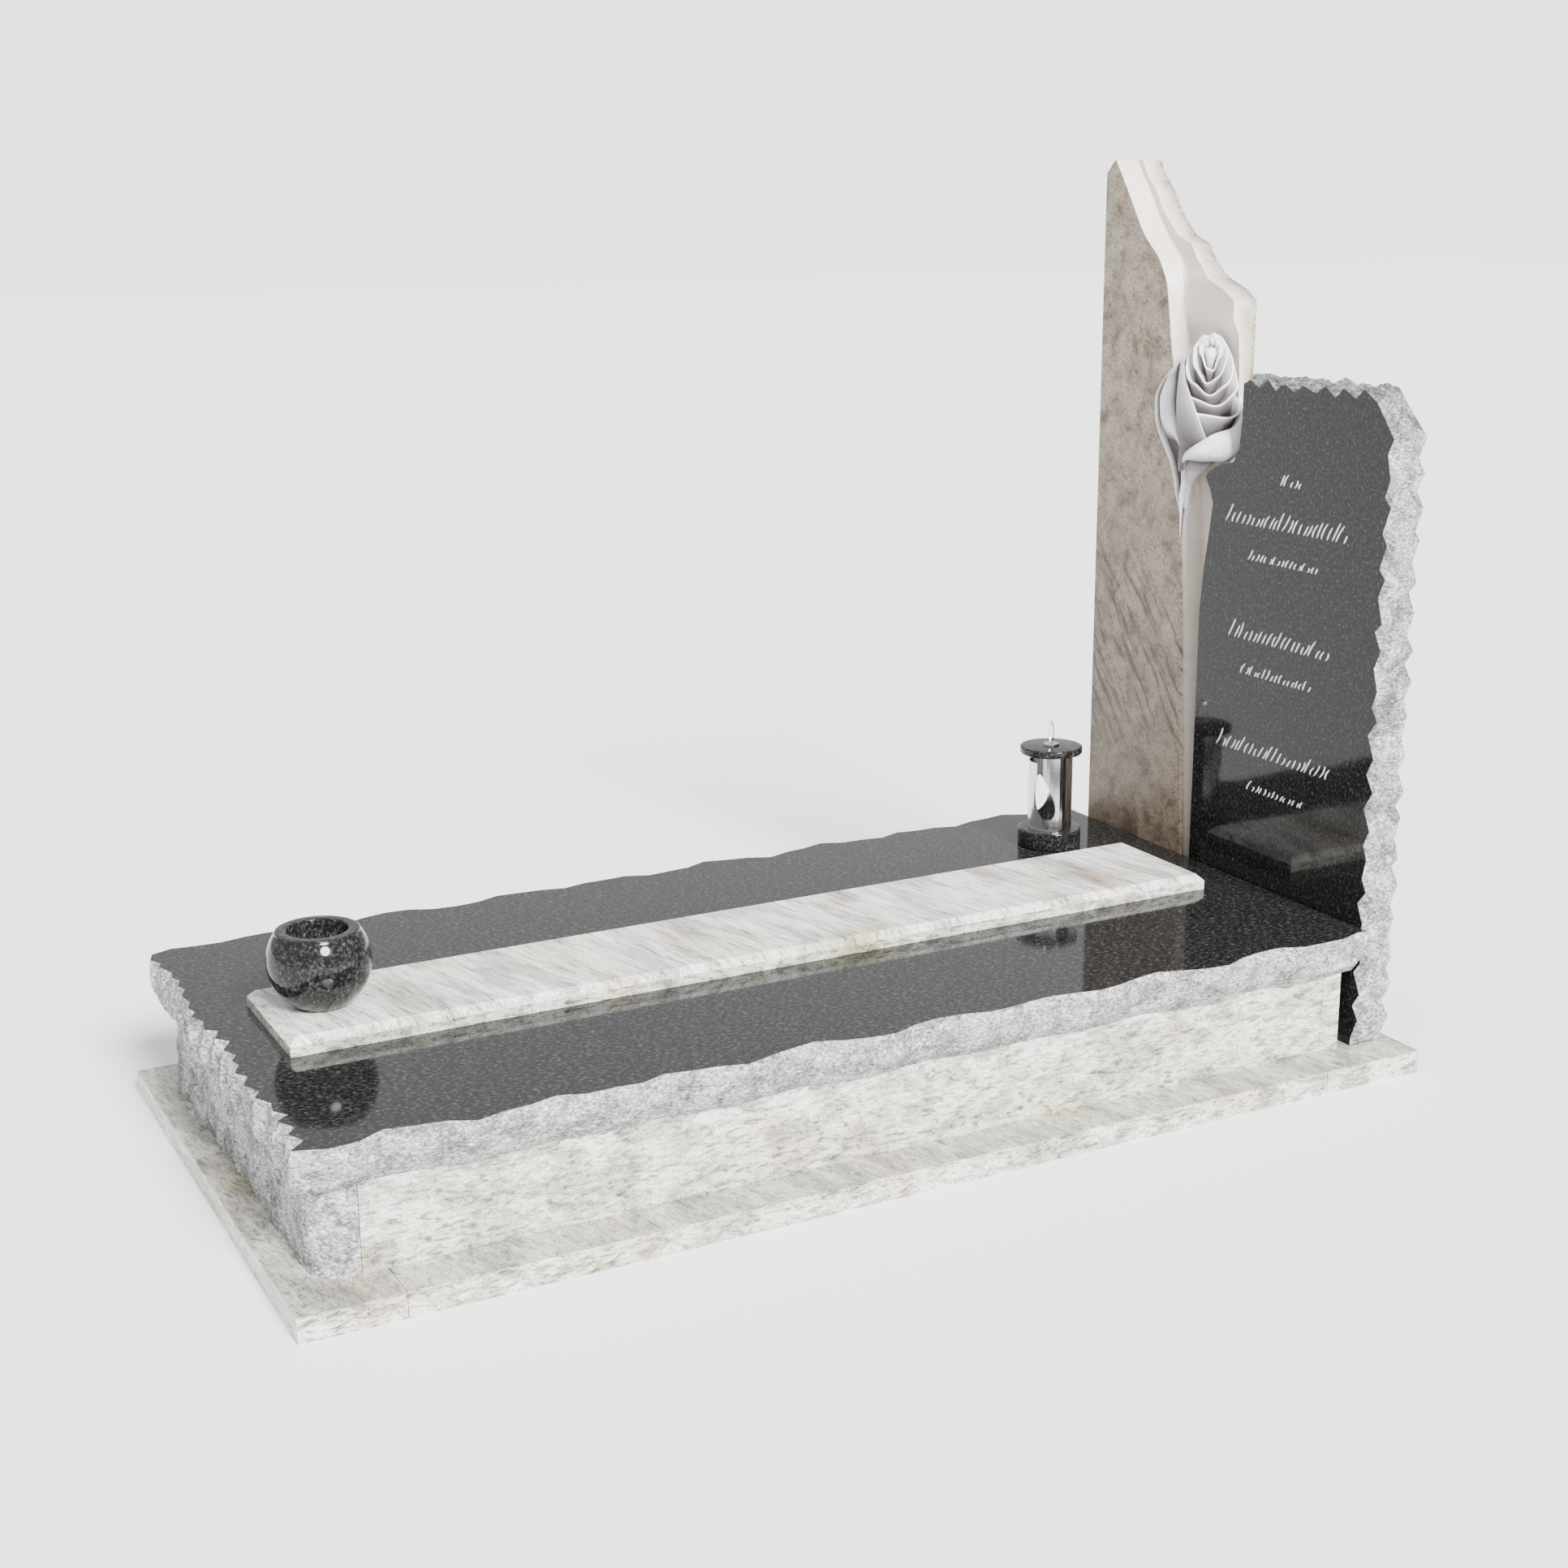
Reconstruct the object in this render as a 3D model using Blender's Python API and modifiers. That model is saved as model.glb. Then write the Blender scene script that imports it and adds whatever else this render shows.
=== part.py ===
"""Granite monument for one grave, with a carved rose on its stele.

A flat surround of four slabs carries a kerb, a rock-edged cover slab with a
light runner on it, a dark headstone and a light stele. The rose, its leaves
and its stem are carved in one with the stele. A ball vase and a grave lantern
stand loose on top.

Metres, +Z up. X runs across the grave, Y from its foot (-Y) to its head (+Y).
The origin is on the ground, at the middle of the surround.
"""

import math
import random

import bmesh
import bpy
from mathutils import Matrix, Vector, noise

# Driving dimensions, surround
BASE_LENGTH = 2.0
BASE_WIDTH = 0.99
BASE_THICKNESS = 0.04
FOOT_SLAB_DEPTH = 0.156
HEAD_SLAB_DEPTH = 0.204
SIDE_SLAB_WIDTH = 0.15

# Gap left between faces that touch, and the open joint between slabs
SEAT = 0.0003
JOINT = 0.001

# Kerb, a low box of three sawn walls and one rock-faced foot block
KERB_WIDTH = 0.83
KERB_HEIGHT = 0.14
KERB_WALL = 0.04
KERB_FOOT_BLOCK = 0.077
KERB_FOOT_MARGIN = 0.04
KERB_TO_HEADSTONE = 0.025

# Cover slab
COVER_THICKNESS = 0.082
COVER_SIDE_OVERHANG = 0.042
COVER_FOOT_OVERHANG = 0.006
COVER_TO_HEADSTONE = 0.004
COVER_FACE_LEAN = 0.036

# Runner on the cover
RUNNER_WIDTH = 0.25
RUNNER_THICKNESS = 0.028
RUNNER_CHAMFER = 0.012
RUNNER_FROM_FOOT = 0.077
RUNNER_FROM_HEAD = 0.097

# Headstone and stele stand side by side at the head
STELE_BACK_SETBACK = 0.002
STELE_DEPTH = 0.088
STELE_HEIGHT = 1.513
STELE_LEFT = -0.382
STELE_FOOT_WIDTH = 0.329
HEADSTONE_RIGHT = 0.428
HEADSTONE_HEIGHT = 1.128
HEADSTONE_DEPTH = 0.07
HEADSTONE_CORNER = 0.05
STANDING_JOINT = 0.003

# Rock-pitched edges
CHIP_SPACING = 0.052
CHIP_DEPTH = 0.011

# Vase
VASE_RADIUS = 0.081
VASE_FOOT_RADIUS = 0.035
VASE_HEIGHT = 0.124
VASE_BORE = 0.094
VASE_FLOOR = 0.022
VASE_RIM_ROUND = 0.005
VASE_FROM_RUNNER_FOOT = 0.086

# Lantern
LANTERN_BASE_RADIUS = 0.061
LANTERN_BASE_HEIGHT = 0.034
LANTERN_TUBE_RADIUS = 0.0425
LANTERN_TUBE_WALL = 0.002
LANTERN_TUBE_HEIGHT = 0.149
LANTERN_LID_RADIUS = 0.06
LANTERN_LID_HEIGHT = 0.014
LANTERN_DISC_ROUND = 0.003
LANTERN_FROM_RUNNER = 0.132
LANTERN_FROM_COVER_HEAD = 0.178
KNOB_RADIUS = 0.0155
KNOB_HEIGHT = 0.004
LOOP_HEIGHT = 0.045
LOOP_WIDTH = 0.022
LOOP_WIRE = 0.0013
LOOP_AZIMUTH = -15.0

# Places that follow from the sizes above
BASE_TOP = BASE_THICKNESS
FLOOR_OF_KERB = BASE_TOP + SEAT
KERB_TOP = FLOOR_OF_KERB + KERB_HEIGHT
COVER_BOTTOM = KERB_TOP + SEAT
COVER_TOP = COVER_BOTTOM + COVER_THICKNESS
RUNNER_BOTTOM = COVER_TOP + SEAT
RUNNER_TOP = RUNNER_BOTTOM + RUNNER_THICKNESS
STANDING_BOTTOM = BASE_TOP + SEAT
FOOT_END = -BASE_LENGTH / 2
HEAD_END = BASE_LENGTH / 2
STELE_BACK = HEAD_END - STELE_BACK_SETBACK
STANDING_FRONT = STELE_BACK - STELE_DEPTH
HEADSTONE_LEFT = STELE_LEFT + STELE_FOOT_WIDTH + STANDING_JOINT
KERB_FOOT = FOOT_END + KERB_FOOT_MARGIN
KERB_HEAD = STANDING_FRONT - KERB_TO_HEADSTONE
COVER_FOOT = KERB_FOOT - COVER_FOOT_OVERHANG
COVER_HEAD = STANDING_FRONT - COVER_TO_HEADSTONE
COVER_HALF_WIDTH = KERB_WIDTH / 2 + COVER_SIDE_OVERHANG
RUNNER_FOOT = COVER_FOOT + RUNNER_FROM_FOOT
RUNNER_HEAD = COVER_HEAD - RUNNER_FROM_HEAD

# Stele outline: height above the surround, and distance from its left face.
# The arris is the front right edge, the back line is the rear right edge.
ARRIS = (
    (0.0, 0.326), (0.23, 0.309), (0.88, 0.262), (1.02, 0.236), (1.16, 0.212),
    (1.28, 0.200), (1.33, 0.176), (1.378, 0.125), (1.43, 0.088),
    (1.472, 0.059), (1.513, 0.029),
)
BACK_LINE = (
    (0.0, STELE_FOOT_WIDTH), (0.96, STELE_FOOT_WIDTH), (1.0, 0.348), (1.265, 0.348),
    (1.284, 0.318), (1.302, 0.268), (1.333, 0.228), (1.362, 0.207),
    (1.376, 0.168), (1.417, 0.124), (1.456, 0.097), (1.486, 0.067),
    (1.513, 0.05),
)
# How far behind the front the carved hollow beside the arris lies
HOLLOW_DEPTH = (
    (0.0, 0.03), (0.5, 0.045), (0.9, 0.05), (1.1, 0.055), (1.2, 0.05),
    (1.24, 0.035), (1.29, 0.035), (1.33, 0.044), (1.513, 0.044),
)
STELE_TIP_BEVEL = 0.025
ARRIS_ROUND = 0.008
SCOOP_DEPTH = 0.009
SCOOP_HEIGHT = 1.13
SCOOP_REACH = 0.09

# Headstone's left side beside the stele: height above the surround, and
# distance right of HEADSTONE_LEFT. It ends in the notch round the rose.
NOTCH_SIDE = (
    (0.0, 0.0), (0.7, 0.0), (0.78, 0.007), (0.86, 0.02), (0.905, 0.026),
    (0.93, 0.016), (0.95, 0.002),
)
NOTCH_FLOOR = (
    (0.962, 0.012), (0.974, 0.036), (0.985, 0.079), (1.01, 0.094),
    (1.06, 0.098),
)

# Rose: the middle of its foot, from the stele's left front foot, how much
# flatter it is front to back than it is wide, and the way that it faces
ROSE_FOOT = Vector((0.320, 0.010, 0.965))
ROSE_SQUASH = 0.86
ROSE_TURN = -38.0
# Its girth: height above its foot, and radius there
ROSE_GIRTH = (
    (0.0, 0.030), (0.025, 0.050), (0.06, 0.063), (0.12, 0.069), (0.17, 0.066),
    (0.21, 0.055), (0.25, 0.032),
)
# Calyx under it: height, radius, and how far it lies towards the stem
CALYX = (
    (-0.11, 0.010, 0.056), (-0.06, 0.016, 0.050), (-0.025, 0.024, 0.032),
    (0.0, 0.034, 0.010),
)
# Its petals lie in rings, like cups inside each other. Each ring: its share of
# the girth at the face and at the back, how far its lip turns out, and its
# lip's height at eight places, from behind left, past the face, to the back
ROSE_RINGS = (
    (1.00, 1.00, 0.012, (0.060, 0.048, 0.052, 0.058, 0.070, 0.125, 0.150, 0.110)),
    (0.83, 0.88, 0.005, (0.150, 0.140, 0.115, 0.104, 0.112, 0.138, 0.160, 0.160)),
    (0.73, 0.83, 0.004, (0.160, 0.150, 0.125, 0.114, 0.138, 0.165, 0.195, 0.190)),
    (0.62, 0.78, 0.004, (0.205, 0.165, 0.134, 0.136, 0.165, 0.208, 0.228, 0.228)),
    (0.48, 0.62, 0.003, (0.236, 0.215, 0.178, 0.160, 0.180, 0.218, 0.236, 0.243)),
    (0.34, 0.44, 0.001, (0.243, 0.236, 0.215, 0.187, 0.200, 0.225, 0.240, 0.247)),
)
ROSE_BUD = (0.19, 0.22, 0.240)
# The tall petal on its left: edges in degrees from the face, inner and outer
# share of the girth, and its lip's height from edge to edge
TALL_PETAL_EDGES = (-165.0, 2.0)
TALL_PETAL_SHARES = (0.87, 0.95)
TALL_PETAL_LIP = (
    (0.0, 0.200), (0.3, 0.214), (0.5, 0.205), (0.7, 0.165), (0.85, 0.110), (1.0, 0.056),
)
POCKET_DEPTH = 0.013
DEEPEST_STEP = 0.022
LIP_ROLL = 0.7
ROSE_COLUMNS = 32

STONE_LIGHT = ("light_granite", (0.80, 0.81, 0.78), 0.35, 0.0)
STONE_DARK = ("dark_granite", (0.09, 0.09, 0.095), 0.12, 0.0)
STONE_BEIGE = ("beige_granite", (0.62, 0.56, 0.52), 0.4, 0.0)
STEEL = ("polished_steel", (0.78, 0.78, 0.78), 0.12, 1.0)


def clear_scene():
    """Remove every object that the new file starts with."""
    for item in list(bpy.data.objects):
        bpy.data.objects.remove(item, do_unlink=True)


def new_collection(name):
    group = bpy.data.collections.new(name)
    bpy.context.scene.collection.children.link(group)
    return group


def finish_material(finish):
    """Principled material for one of the finishes named at the top."""
    name, colour, roughness, metallic = finish
    found = bpy.data.materials.get(name)
    if found:
        return found
    made = bpy.data.materials.new(name)
    made.use_nodes = True
    shader = made.node_tree.nodes["Principled BSDF"]
    shader.inputs["Base Color"].default_value = (*colour, 1.0)
    shader.inputs["Roughness"].default_value = roughness
    shader.inputs["Metallic"].default_value = metallic
    return made


def add_object(name, shape, finish, group):
    """Turn a bmesh into a named object with its material."""
    bmesh.ops.recalc_face_normals(shape, faces=shape.faces)
    mesh = bpy.data.meshes.new(name)
    shape.to_mesh(mesh)
    shape.free()
    mesh.materials.append(finish_material(finish))
    item = bpy.data.objects.new(name, mesh)
    group.objects.link(item)
    return item


def block(name, low, high, finish, group):
    """Rectangular block between two corners."""
    low, high = Vector(low), Vector(high)
    size = high - low
    shape = bmesh.new()
    bmesh.ops.create_cube(shape, size=1.0)
    place = Matrix.Translation((low + high) / 2) @ Matrix.Diagonal((*size, 1.0))
    bmesh.ops.transform(shape, matrix=place, verts=shape.verts)
    return add_object(name, shape, finish, group)


def loft(rings):
    """Closed solid through rings of equally many points, capped flat."""
    shape = bmesh.new()
    rows = [[shape.verts.new(point) for point in ring] for ring in rings]
    count = len(rows[0])
    for lower, upper in zip(rows, rows[1:]):
        for i in range(count):
            j = (i + 1) % count
            shape.faces.new((lower[i], lower[j], upper[j], upper[i]))
    for row in (rows[0], rows[-1]):
        rim = [shape.edges.get((row[i - 1], row[i])) for i in range(count)]
        bmesh.ops.triangle_fill(shape, edges=rim, use_beauty=True)
    return shape


def turned(name, profile, place, finish, group, steps=32):
    """Solid of revolution from a profile that runs down its outer side."""
    mesh = bpy.data.meshes.new(name)
    edges = [(i, i + 1) for i in range(len(profile) - 1)]
    mesh.from_pydata([(r, 0.0, z) for r, z in profile], edges, [])
    mesh.materials.append(finish_material(finish))
    item = bpy.data.objects.new(name, mesh)
    item.location = place
    group.objects.link(item)
    screw = item.modifiers.new("turn", "SCREW")
    screw.steps = steps
    screw.render_steps = steps
    screw.use_merge_vertices = True
    screw.merge_threshold = 0.00005
    screw.use_smooth_shade = True
    return item


def join(item, tool, operation):
    """Boolean modifier on an item, with its tool shown as a wire only."""
    tool.hide_render = True
    tool.display_type = "WIRE"
    change = item.modifiers.new(tool.name, "BOOLEAN")
    change.operation = operation
    change.solver = "EXACT"
    change.use_self = operation == "UNION"
    change.object = tool


def fill_voids(item):
    """Apply an item's modifiers and drop the skins of any sealed void."""
    view = bpy.context.evaluated_depsgraph_get()
    mesh = bpy.data.meshes.new_from_object(item.evaluated_get(view))
    shape = bmesh.new()
    shape.from_mesh(mesh)
    unseen = set(shape.faces)
    skins = []
    while unseen:
        first = unseen.pop()
        skin, edge_of_search = [first], [first]
        while edge_of_search:
            face = edge_of_search.pop()
            for edge in face.edges:
                for near in edge.link_faces:
                    if near in unseen:
                        unseen.remove(near)
                        skin.append(near)
                        edge_of_search.append(near)
        skins.append(skin)
    skins.sort(key=len)
    hidden = [face for skin in skins[:-1] for face in skin]
    bmesh.ops.delete(shape, geom=hidden, context="FACES")
    shape.to_mesh(mesh)
    shape.free()
    item.modifiers.clear()
    item.data = mesh


def slope_at(table, i):
    """Slope at one point of a table that lets a curve overshoot nowhere."""
    steps = []
    for j in (i, i + 1):
        if 0 < j < len(table):
            (h0, v0), (h1, v1) = table[j - 1], table[j]
            steps.append((v1 - v0) / (h1 - h0))
    if len(steps) == 1:
        return steps[0]
    before, after = steps
    if before * after <= 0:
        return 0.0
    return 2 * before * after / (before + after)


def between(table, height):
    """Smooth value from a table of (height, value) points."""
    if height <= table[0][0]:
        return table[0][1]
    for i in range(1, len(table)):
        (h0, v0), (h1, v1) = table[i - 1], table[i]
        if height <= h1:
            gap = h1 - h0
            t = (height - h0) / gap
            start, end = slope_at(table, i - 1) * gap, slope_at(table, i) * gap
            bend = (start + end - 2 * (v1 - v0)) * t + 3 * (v1 - v0) - 2 * start - end
            return v0 + t * (start + t * bend)
    return table[-1][1]


def straight_between(table, height):
    """Straight-line value from a table of (height, value) points."""
    if height <= table[0][0]:
        return table[0][1]
    for (h0, v0), (h1, v1) in zip(table, table[1:]):
        if height <= h1:
            return v0 + (v1 - v0) * (height - h0) / (h1 - h0)
    return table[-1][1]


def chips_in(length, spacing=CHIP_SPACING):
    """How many points an edge of this length needs, two for each chip."""
    return 2 * max(2, round(length / spacing))


def chipped_line(start, end, outward, count, depth, seed):
    """Points along an edge, alternately chipped in and standing out."""
    start, end = Vector(start), Vector(end)
    pick = random.Random(seed)
    points = []
    for i in range(count):
        share = (i + 0.5 + pick.uniform(-0.28, 0.28)) / count
        side = 1 if i % 2 else -1
        push = side * depth * pick.uniform(0.35, 1.0)
        points.append(start.lerp(end, share) + Vector(outward) * push)
    return points


def wavy_line(start, end, outward, count, depth, phase):
    """Points along an edge that swings gently in and out."""
    start, end = Vector(start), Vector(end)
    points = []
    for i in range(count):
        point = start.lerp(end, (i + 0.5) / count)
        along = (point - start).length + phase
        swing = 0.6 * math.sin(math.tau * along / 0.215)
        swing += 0.3 * math.sin(math.tau * along / 0.31 + 1.3)
        swing += 0.25 * math.sin(math.tau * along / 0.083 + 0.4)
        points.append(point + Vector(outward) * depth * swing)
    return points


def standing_place():
    """Left front foot of the stele, which the rose is measured from."""
    return Vector((STELE_LEFT, STANDING_FRONT, STANDING_BOTTOM))


def add_surround(group):
    """Four flat slabs on the ground, with open joints between them."""
    half = BASE_WIDTH / 2
    foot_joint = FOOT_END + FOOT_SLAB_DEPTH
    head_joint = HEAD_END - HEAD_SLAB_DEPTH
    slabs = {
        "surround_slab_foot": ((-half, FOOT_END), (half, foot_joint)),
        "surround_slab_head": ((-half, head_joint), (half, HEAD_END)),
        "surround_slab_near": (
            (half - SIDE_SLAB_WIDTH, foot_joint + JOINT),
            (half, head_joint - JOINT),
        ),
        "surround_slab_far": (
            (-half, foot_joint + JOINT),
            (-half + SIDE_SLAB_WIDTH, head_joint - JOINT),
        ),
    }
    for name, (low, high) in slabs.items():
        block(name, (*low, 0.0), (*high, BASE_TOP), STONE_LIGHT, group)


def add_kerb(group):
    """Sawn head wall and side walls, and a rock-faced foot block."""
    half = KERB_WIDTH / 2
    block_back = KERB_FOOT + KERB_FOOT_BLOCK
    head_wall_front = KERB_HEAD - KERB_WALL
    block("kerb_head_wall", (-half, head_wall_front, FLOOR_OF_KERB),
          (half, KERB_HEAD, KERB_TOP), STONE_LIGHT, group)
    for side, name in ((1, "kerb_near_wall"), (-1, "kerb_far_wall")):
        edges = sorted((side * half, side * (half - KERB_WALL)))
        block(name, (edges[0], block_back + JOINT, FLOOR_OF_KERB),
              (edges[1], head_wall_front - JOINT, KERB_TOP), STONE_LIGHT, group)
    add_foot_block(half, block_back, group)


def add_foot_block(half, back, group):
    """Foot wall of the kerb, split to a rough face with rounded corners."""
    stations, levels = 30, 6
    corner = 0.55 * KERB_FOOT_BLOCK
    rings = []
    for i in range(stations + 1):
        x = half * (2 * i / stations - 1)
        ring = [Vector((x, back, FLOOR_OF_KERB)), Vector((x, back, KERB_TOP))]
        inward = max(0.0, abs(x) - (half - corner)) / corner
        for k in range(levels):
            z = KERB_TOP - KERB_HEIGHT * k / (levels - 1)
            bump = noise.noise(Vector((x * 17, z * 26, 3.1)))
            y = KERB_FOOT + 0.011 * (1 + bump) + corner * inward ** 3
            ring.append(Vector((x, y, z)))
        rings.append(ring)
    add_object("kerb_foot_block", loft(rings), STONE_DARK, group)


def cover_ring(share):
    """Outline of the cover at a share of its thickness, 1 at the top."""
    half = COVER_HALF_WIDTH
    under = 1 - share
    side_lean = 0.006 * math.sin(math.pi * under) - COVER_FACE_LEAN * under ** 1.3
    foot_lean = 0.008 * math.sin(math.pi * under) - 0.006 * under
    level = COVER_BOTTOM + COVER_THICKNESS * share
    sides = []
    for side in (1, -1):
        x = side * (half + side_lean)
        ends = [(x, COVER_FOOT + 0.012, level), (x, COVER_HEAD, level)]
        if side < 0:
            ends.reverse()
        phase = 0.035 if side > 0 else 0.11
        depth = 0.017 * (1 - 0.55 * under)
        sides.append(wavy_line(*ends, (side, 0, 0), 44, depth, phase))
    near, far = sides
    corners = [Vector((half + side_lean - 0.004, COVER_HEAD, level)),
               Vector((side_lean * -1 - half + 0.004, COVER_HEAD, level))]
    foot_y = COVER_FOOT - foot_lean
    foot = chipped_line((far[-1].x, foot_y, level), (near[0].x, foot_y, level),
                        (0, -1, 0), chips_in(2 * half), CHIP_DEPTH, 5)
    ring = near + corners + far + foot
    for point in ring:
        if COVER_HEAD - point.y > 0.01 and under > 0:
            bump = noise.noise(Vector(point) * 31) * 0.009
            point.x += bump * math.copysign(min(1, abs(point.x) / half), point.x)
            point.y += bump * (0.8 if point.y < COVER_FOOT + 0.03 else 0.0)
    return ring


def add_cover(group):
    """Dark cover slab: sawn at the head, rock-pitched on its other edges."""
    shares = (0.0, 0.22, 0.5, 0.8, 1.0)
    rings = [cover_ring(share) for share in shares]
    add_object("cover_slab", loft(rings), STONE_DARK, group)


def rectangle(x, y_low, y_high, z):
    """Ring of four corners, symmetrical across X."""
    return [Vector((-x, y_low, z)), Vector((x, y_low, z)),
            Vector((x, y_high, z)), Vector((-x, y_high, z))]


def add_runner(group):
    """Long light slab on the cover, with a chamfered upper edge."""
    half = RUNNER_WIDTH / 2
    cut = RUNNER_CHAMFER
    rings = [
        rectangle(half, RUNNER_FOOT, RUNNER_HEAD, RUNNER_BOTTOM),
        rectangle(half, RUNNER_FOOT, RUNNER_HEAD, RUNNER_TOP - cut),
        rectangle(half - cut, RUNNER_FOOT + cut, RUNNER_HEAD - cut, RUNNER_TOP),
    ]
    add_object("runner_slab", loft(rings), STONE_LIGHT, group)


def headstone_ring(share):
    """Outline of the headstone at a share of its depth, 0 at the front."""
    left, right = HEADSTONE_LEFT, HEADSTONE_RIGHT
    y = STANDING_FRONT + HEADSTONE_DEPTH * share
    base = STANDING_BOTTOM
    top = base + HEADSTONE_HEIGHT
    swell = 0.007 * math.sin(math.pi * share)
    seed = 11 + round(share * 10)
    ring = [Vector((left, y, base)), Vector((right - 0.008, y, base))]
    side_top = top - HEADSTONE_CORNER
    side = chipped_line((right + swell, y, base), (right + swell, y, side_top),
                        (1, 0, 0), chips_in(HEADSTONE_HEIGHT, 1.2 * CHIP_SPACING),
                        CHIP_DEPTH, seed)
    notch_right = left + NOTCH_FLOOR[-1][1]
    crest = chipped_line((right - HEADSTONE_CORNER * 0.6, y, top + swell),
                         (notch_right, y, top + swell),
                         (0, 0, 1), chips_in(right - notch_right), CHIP_DEPTH, seed + 3)
    ring += side + crest
    ring.append(Vector((notch_right, y, top - 0.002)))
    for height, reach in reversed(NOTCH_SIDE + NOTCH_FLOOR):
        if height > 0:
            ring.append(Vector((left + reach, y, base + height)))
    return ring


def add_headstone(group):
    """Dark headstone, rock-pitched on its crest and right side."""
    rings = [headstone_ring(share) for share in (0.0, 0.2, 0.6, 1.0)]
    add_object("headstone", loft(rings), STONE_DARK, group)


def stele_ring(height):
    """Plan of the stele at a height: front, rounded arris, hollow, back."""
    arris = between(ARRIS, height)
    rear = max(straight_between(BACK_LINE, height), arris + 0.003)
    depth = STELE_DEPTH
    hollow = between(HOLLOW_DEPTH, height)
    low_part = 1 - min(1.0, max(0.0, (height - 0.9) / 0.2))
    turn = ARRIS_ROUND * low_part + 0.0015
    scoop = SCOOP_DEPTH * math.exp(-((height - SCOOP_HEIGHT) / SCOOP_REACH) ** 2)
    tip_drop = max(0.0, height - (STELE_HEIGHT - STELE_TIP_BEVEL))
    left = tip_drop
    wall = arris + min(0.35 * (rear - arris), 0.3 * hollow)
    flat = arris - turn - left
    plan = [
        (left, 0.0),
        (left + 0.45 * flat, 0.0),
        (left + 0.75 * flat, 0.0),
        (left + 0.9 * flat, 0.5 * scoop),
        (arris - turn, scoop),
        (arris - 0.3 * turn, scoop + 0.3 * turn),
        (arris, scoop + turn),
        (0.5 * (arris + wall), 0.6 * hollow),
        (wall, hollow * 0.97),
        (0.5 * (wall + rear), hollow),
        (rear, hollow + 0.001),
        (rear, depth),
        (left + (rear - left) * 0.5, depth),
        (left, depth),
    ]
    corner = standing_place()
    return [corner + Vector((x, y, height)) for x, y in plan]


def stele_heights():
    """Ring heights: wide apart on the plain shaft, close on the curves."""
    heights = [0.1 * i for i in range(9)]
    heights += [0.84 + 0.04 * i for i in range(11)]
    step = 0.0225
    while heights[-1] + step < STELE_HEIGHT - 0.01:
        heights.append(heights[-1] + step)
    heights.append(STELE_HEIGHT)
    return heights


def rose_frame():
    """Matrix from the rose's own space: +X faces out, +Y right, +Z up."""
    flatten = Matrix.Diagonal((1.0, ROSE_SQUASH, 1.0, 1.0))
    turn = Matrix.Rotation(math.radians(ROSE_TURN), 4, "Z")
    return Matrix.Translation(standing_place() + ROSE_FOOT) @ flatten @ turn


def round_value(values, angle):
    """Smooth value at an angle from values evenly spaced round a turn."""
    count = len(values)
    place = (angle / math.tau + 0.375) * count
    i = math.floor(place)
    t = place - i
    p, q, r, s = (values[(i + k) % count] for k in (-1, 0, 1, 2))
    bend = (2 * p - 5 * q + 4 * r - s) * t * t + (3 * q - p - 3 * r + s) * t ** 3
    return q + 0.5 * ((r - p) * t + bend)


def share_at(front, back, angle):
    """Share of the girth that a ring of petals has at an angle."""
    return front + (back - front) * 0.5 * (1 - math.cos(angle - 0.3))


def rose_profile(angle):
    """Radius and height, up the outside of the rose and over every lip."""
    rings = []
    lip = 0.0
    for front, back, curl, lips in ROSE_RINGS:
        lip = max(round_value(lips, angle), lip - DEEPEST_STEP)
        rings.append((share_at(front, back, angle), curl, lip))
    front, back, tip = ROSE_BUD
    rings.append((share_at(front, back, angle), 0.0, tip))
    face = 0.5 + 0.5 * math.cos(angle - 0.3)
    points = []
    low = 0.02
    for (share, curl, lip), (next_share, _, next_lip) in zip(rings, rings[1:]):
        gap = share - next_share
        middle = low + 0.55 * (lip - low)
        roll = LIP_ROLL * curl * face
        points.append((between(ROSE_GIRTH, middle) * share + roll, middle))
        girth = between(ROSE_GIRTH, lip)
        points.append((girth * share + curl * face, lip - 0.35 * curl * face))
        points.append((girth * (share - 0.4 * gap), lip))
        low = min(lip, next_lip) - POCKET_DEPTH
        points.append((between(ROSE_GIRTH, low) * (share - 0.7 * gap), low))
    bud = rings[-1][0]
    for rise, swell in ((0.5, 1.0), (0.85, 0.75)):
        height = low + rise * (tip - low)
        points.append((between(ROSE_GIRTH, height) * bud * swell, height))
    return points


def add_tall_petal(frame, group):
    """Petal that wraps the left of the rose, as a wall of varying height."""
    inner, outer = TALL_PETAL_SHARES
    left, right = TALL_PETAL_EDGES
    foot, steps = 0.042, 16
    rings = []
    for i in range(steps + 1):
        angle = math.radians(left + (right - left) * i / steps)
        outward = Vector((math.cos(angle), math.sin(angle), 0.0))
        lip = between(TALL_PETAL_LIP, i / steps)
        levels = [foot + (lip - foot) * k / 4 for k in range(5)]
        section = [(outer, level) for level in levels]
        section += [(inner, level) for level in reversed(levels)]
        rings.append([frame @ (outward * between(ROSE_GIRTH, level) * share
                               + Vector((0, 0, level))) for share, level in section])
    add_object("tall_petal", loft(rings), STONE_BEIGE, group)


def add_rose(frame, group):
    """Rose head on its calyx, as one closed skin from the stem to the bud."""
    aside = frame.to_3x3().inverted() @ Vector((-1.0, 0.0, 0.0))
    angles = [math.tau * i / ROSE_COLUMNS - math.pi for i in range(ROSE_COLUMNS)]
    columns = []
    for angle in angles:
        outward = Vector((math.cos(angle), math.sin(angle), 0.0))
        column = []
        for height, radius, reach in CALYX:
            column.append(outward * radius + aside * reach + Vector((0, 0, height)))
        for radius, height in rose_profile(angle):
            column.append(outward * radius + Vector((0, 0, height)))
        columns.append([frame @ point for point in column])
    add_object("rose_head", loft(list(zip(*columns))), STONE_BEIGE, group)


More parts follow.
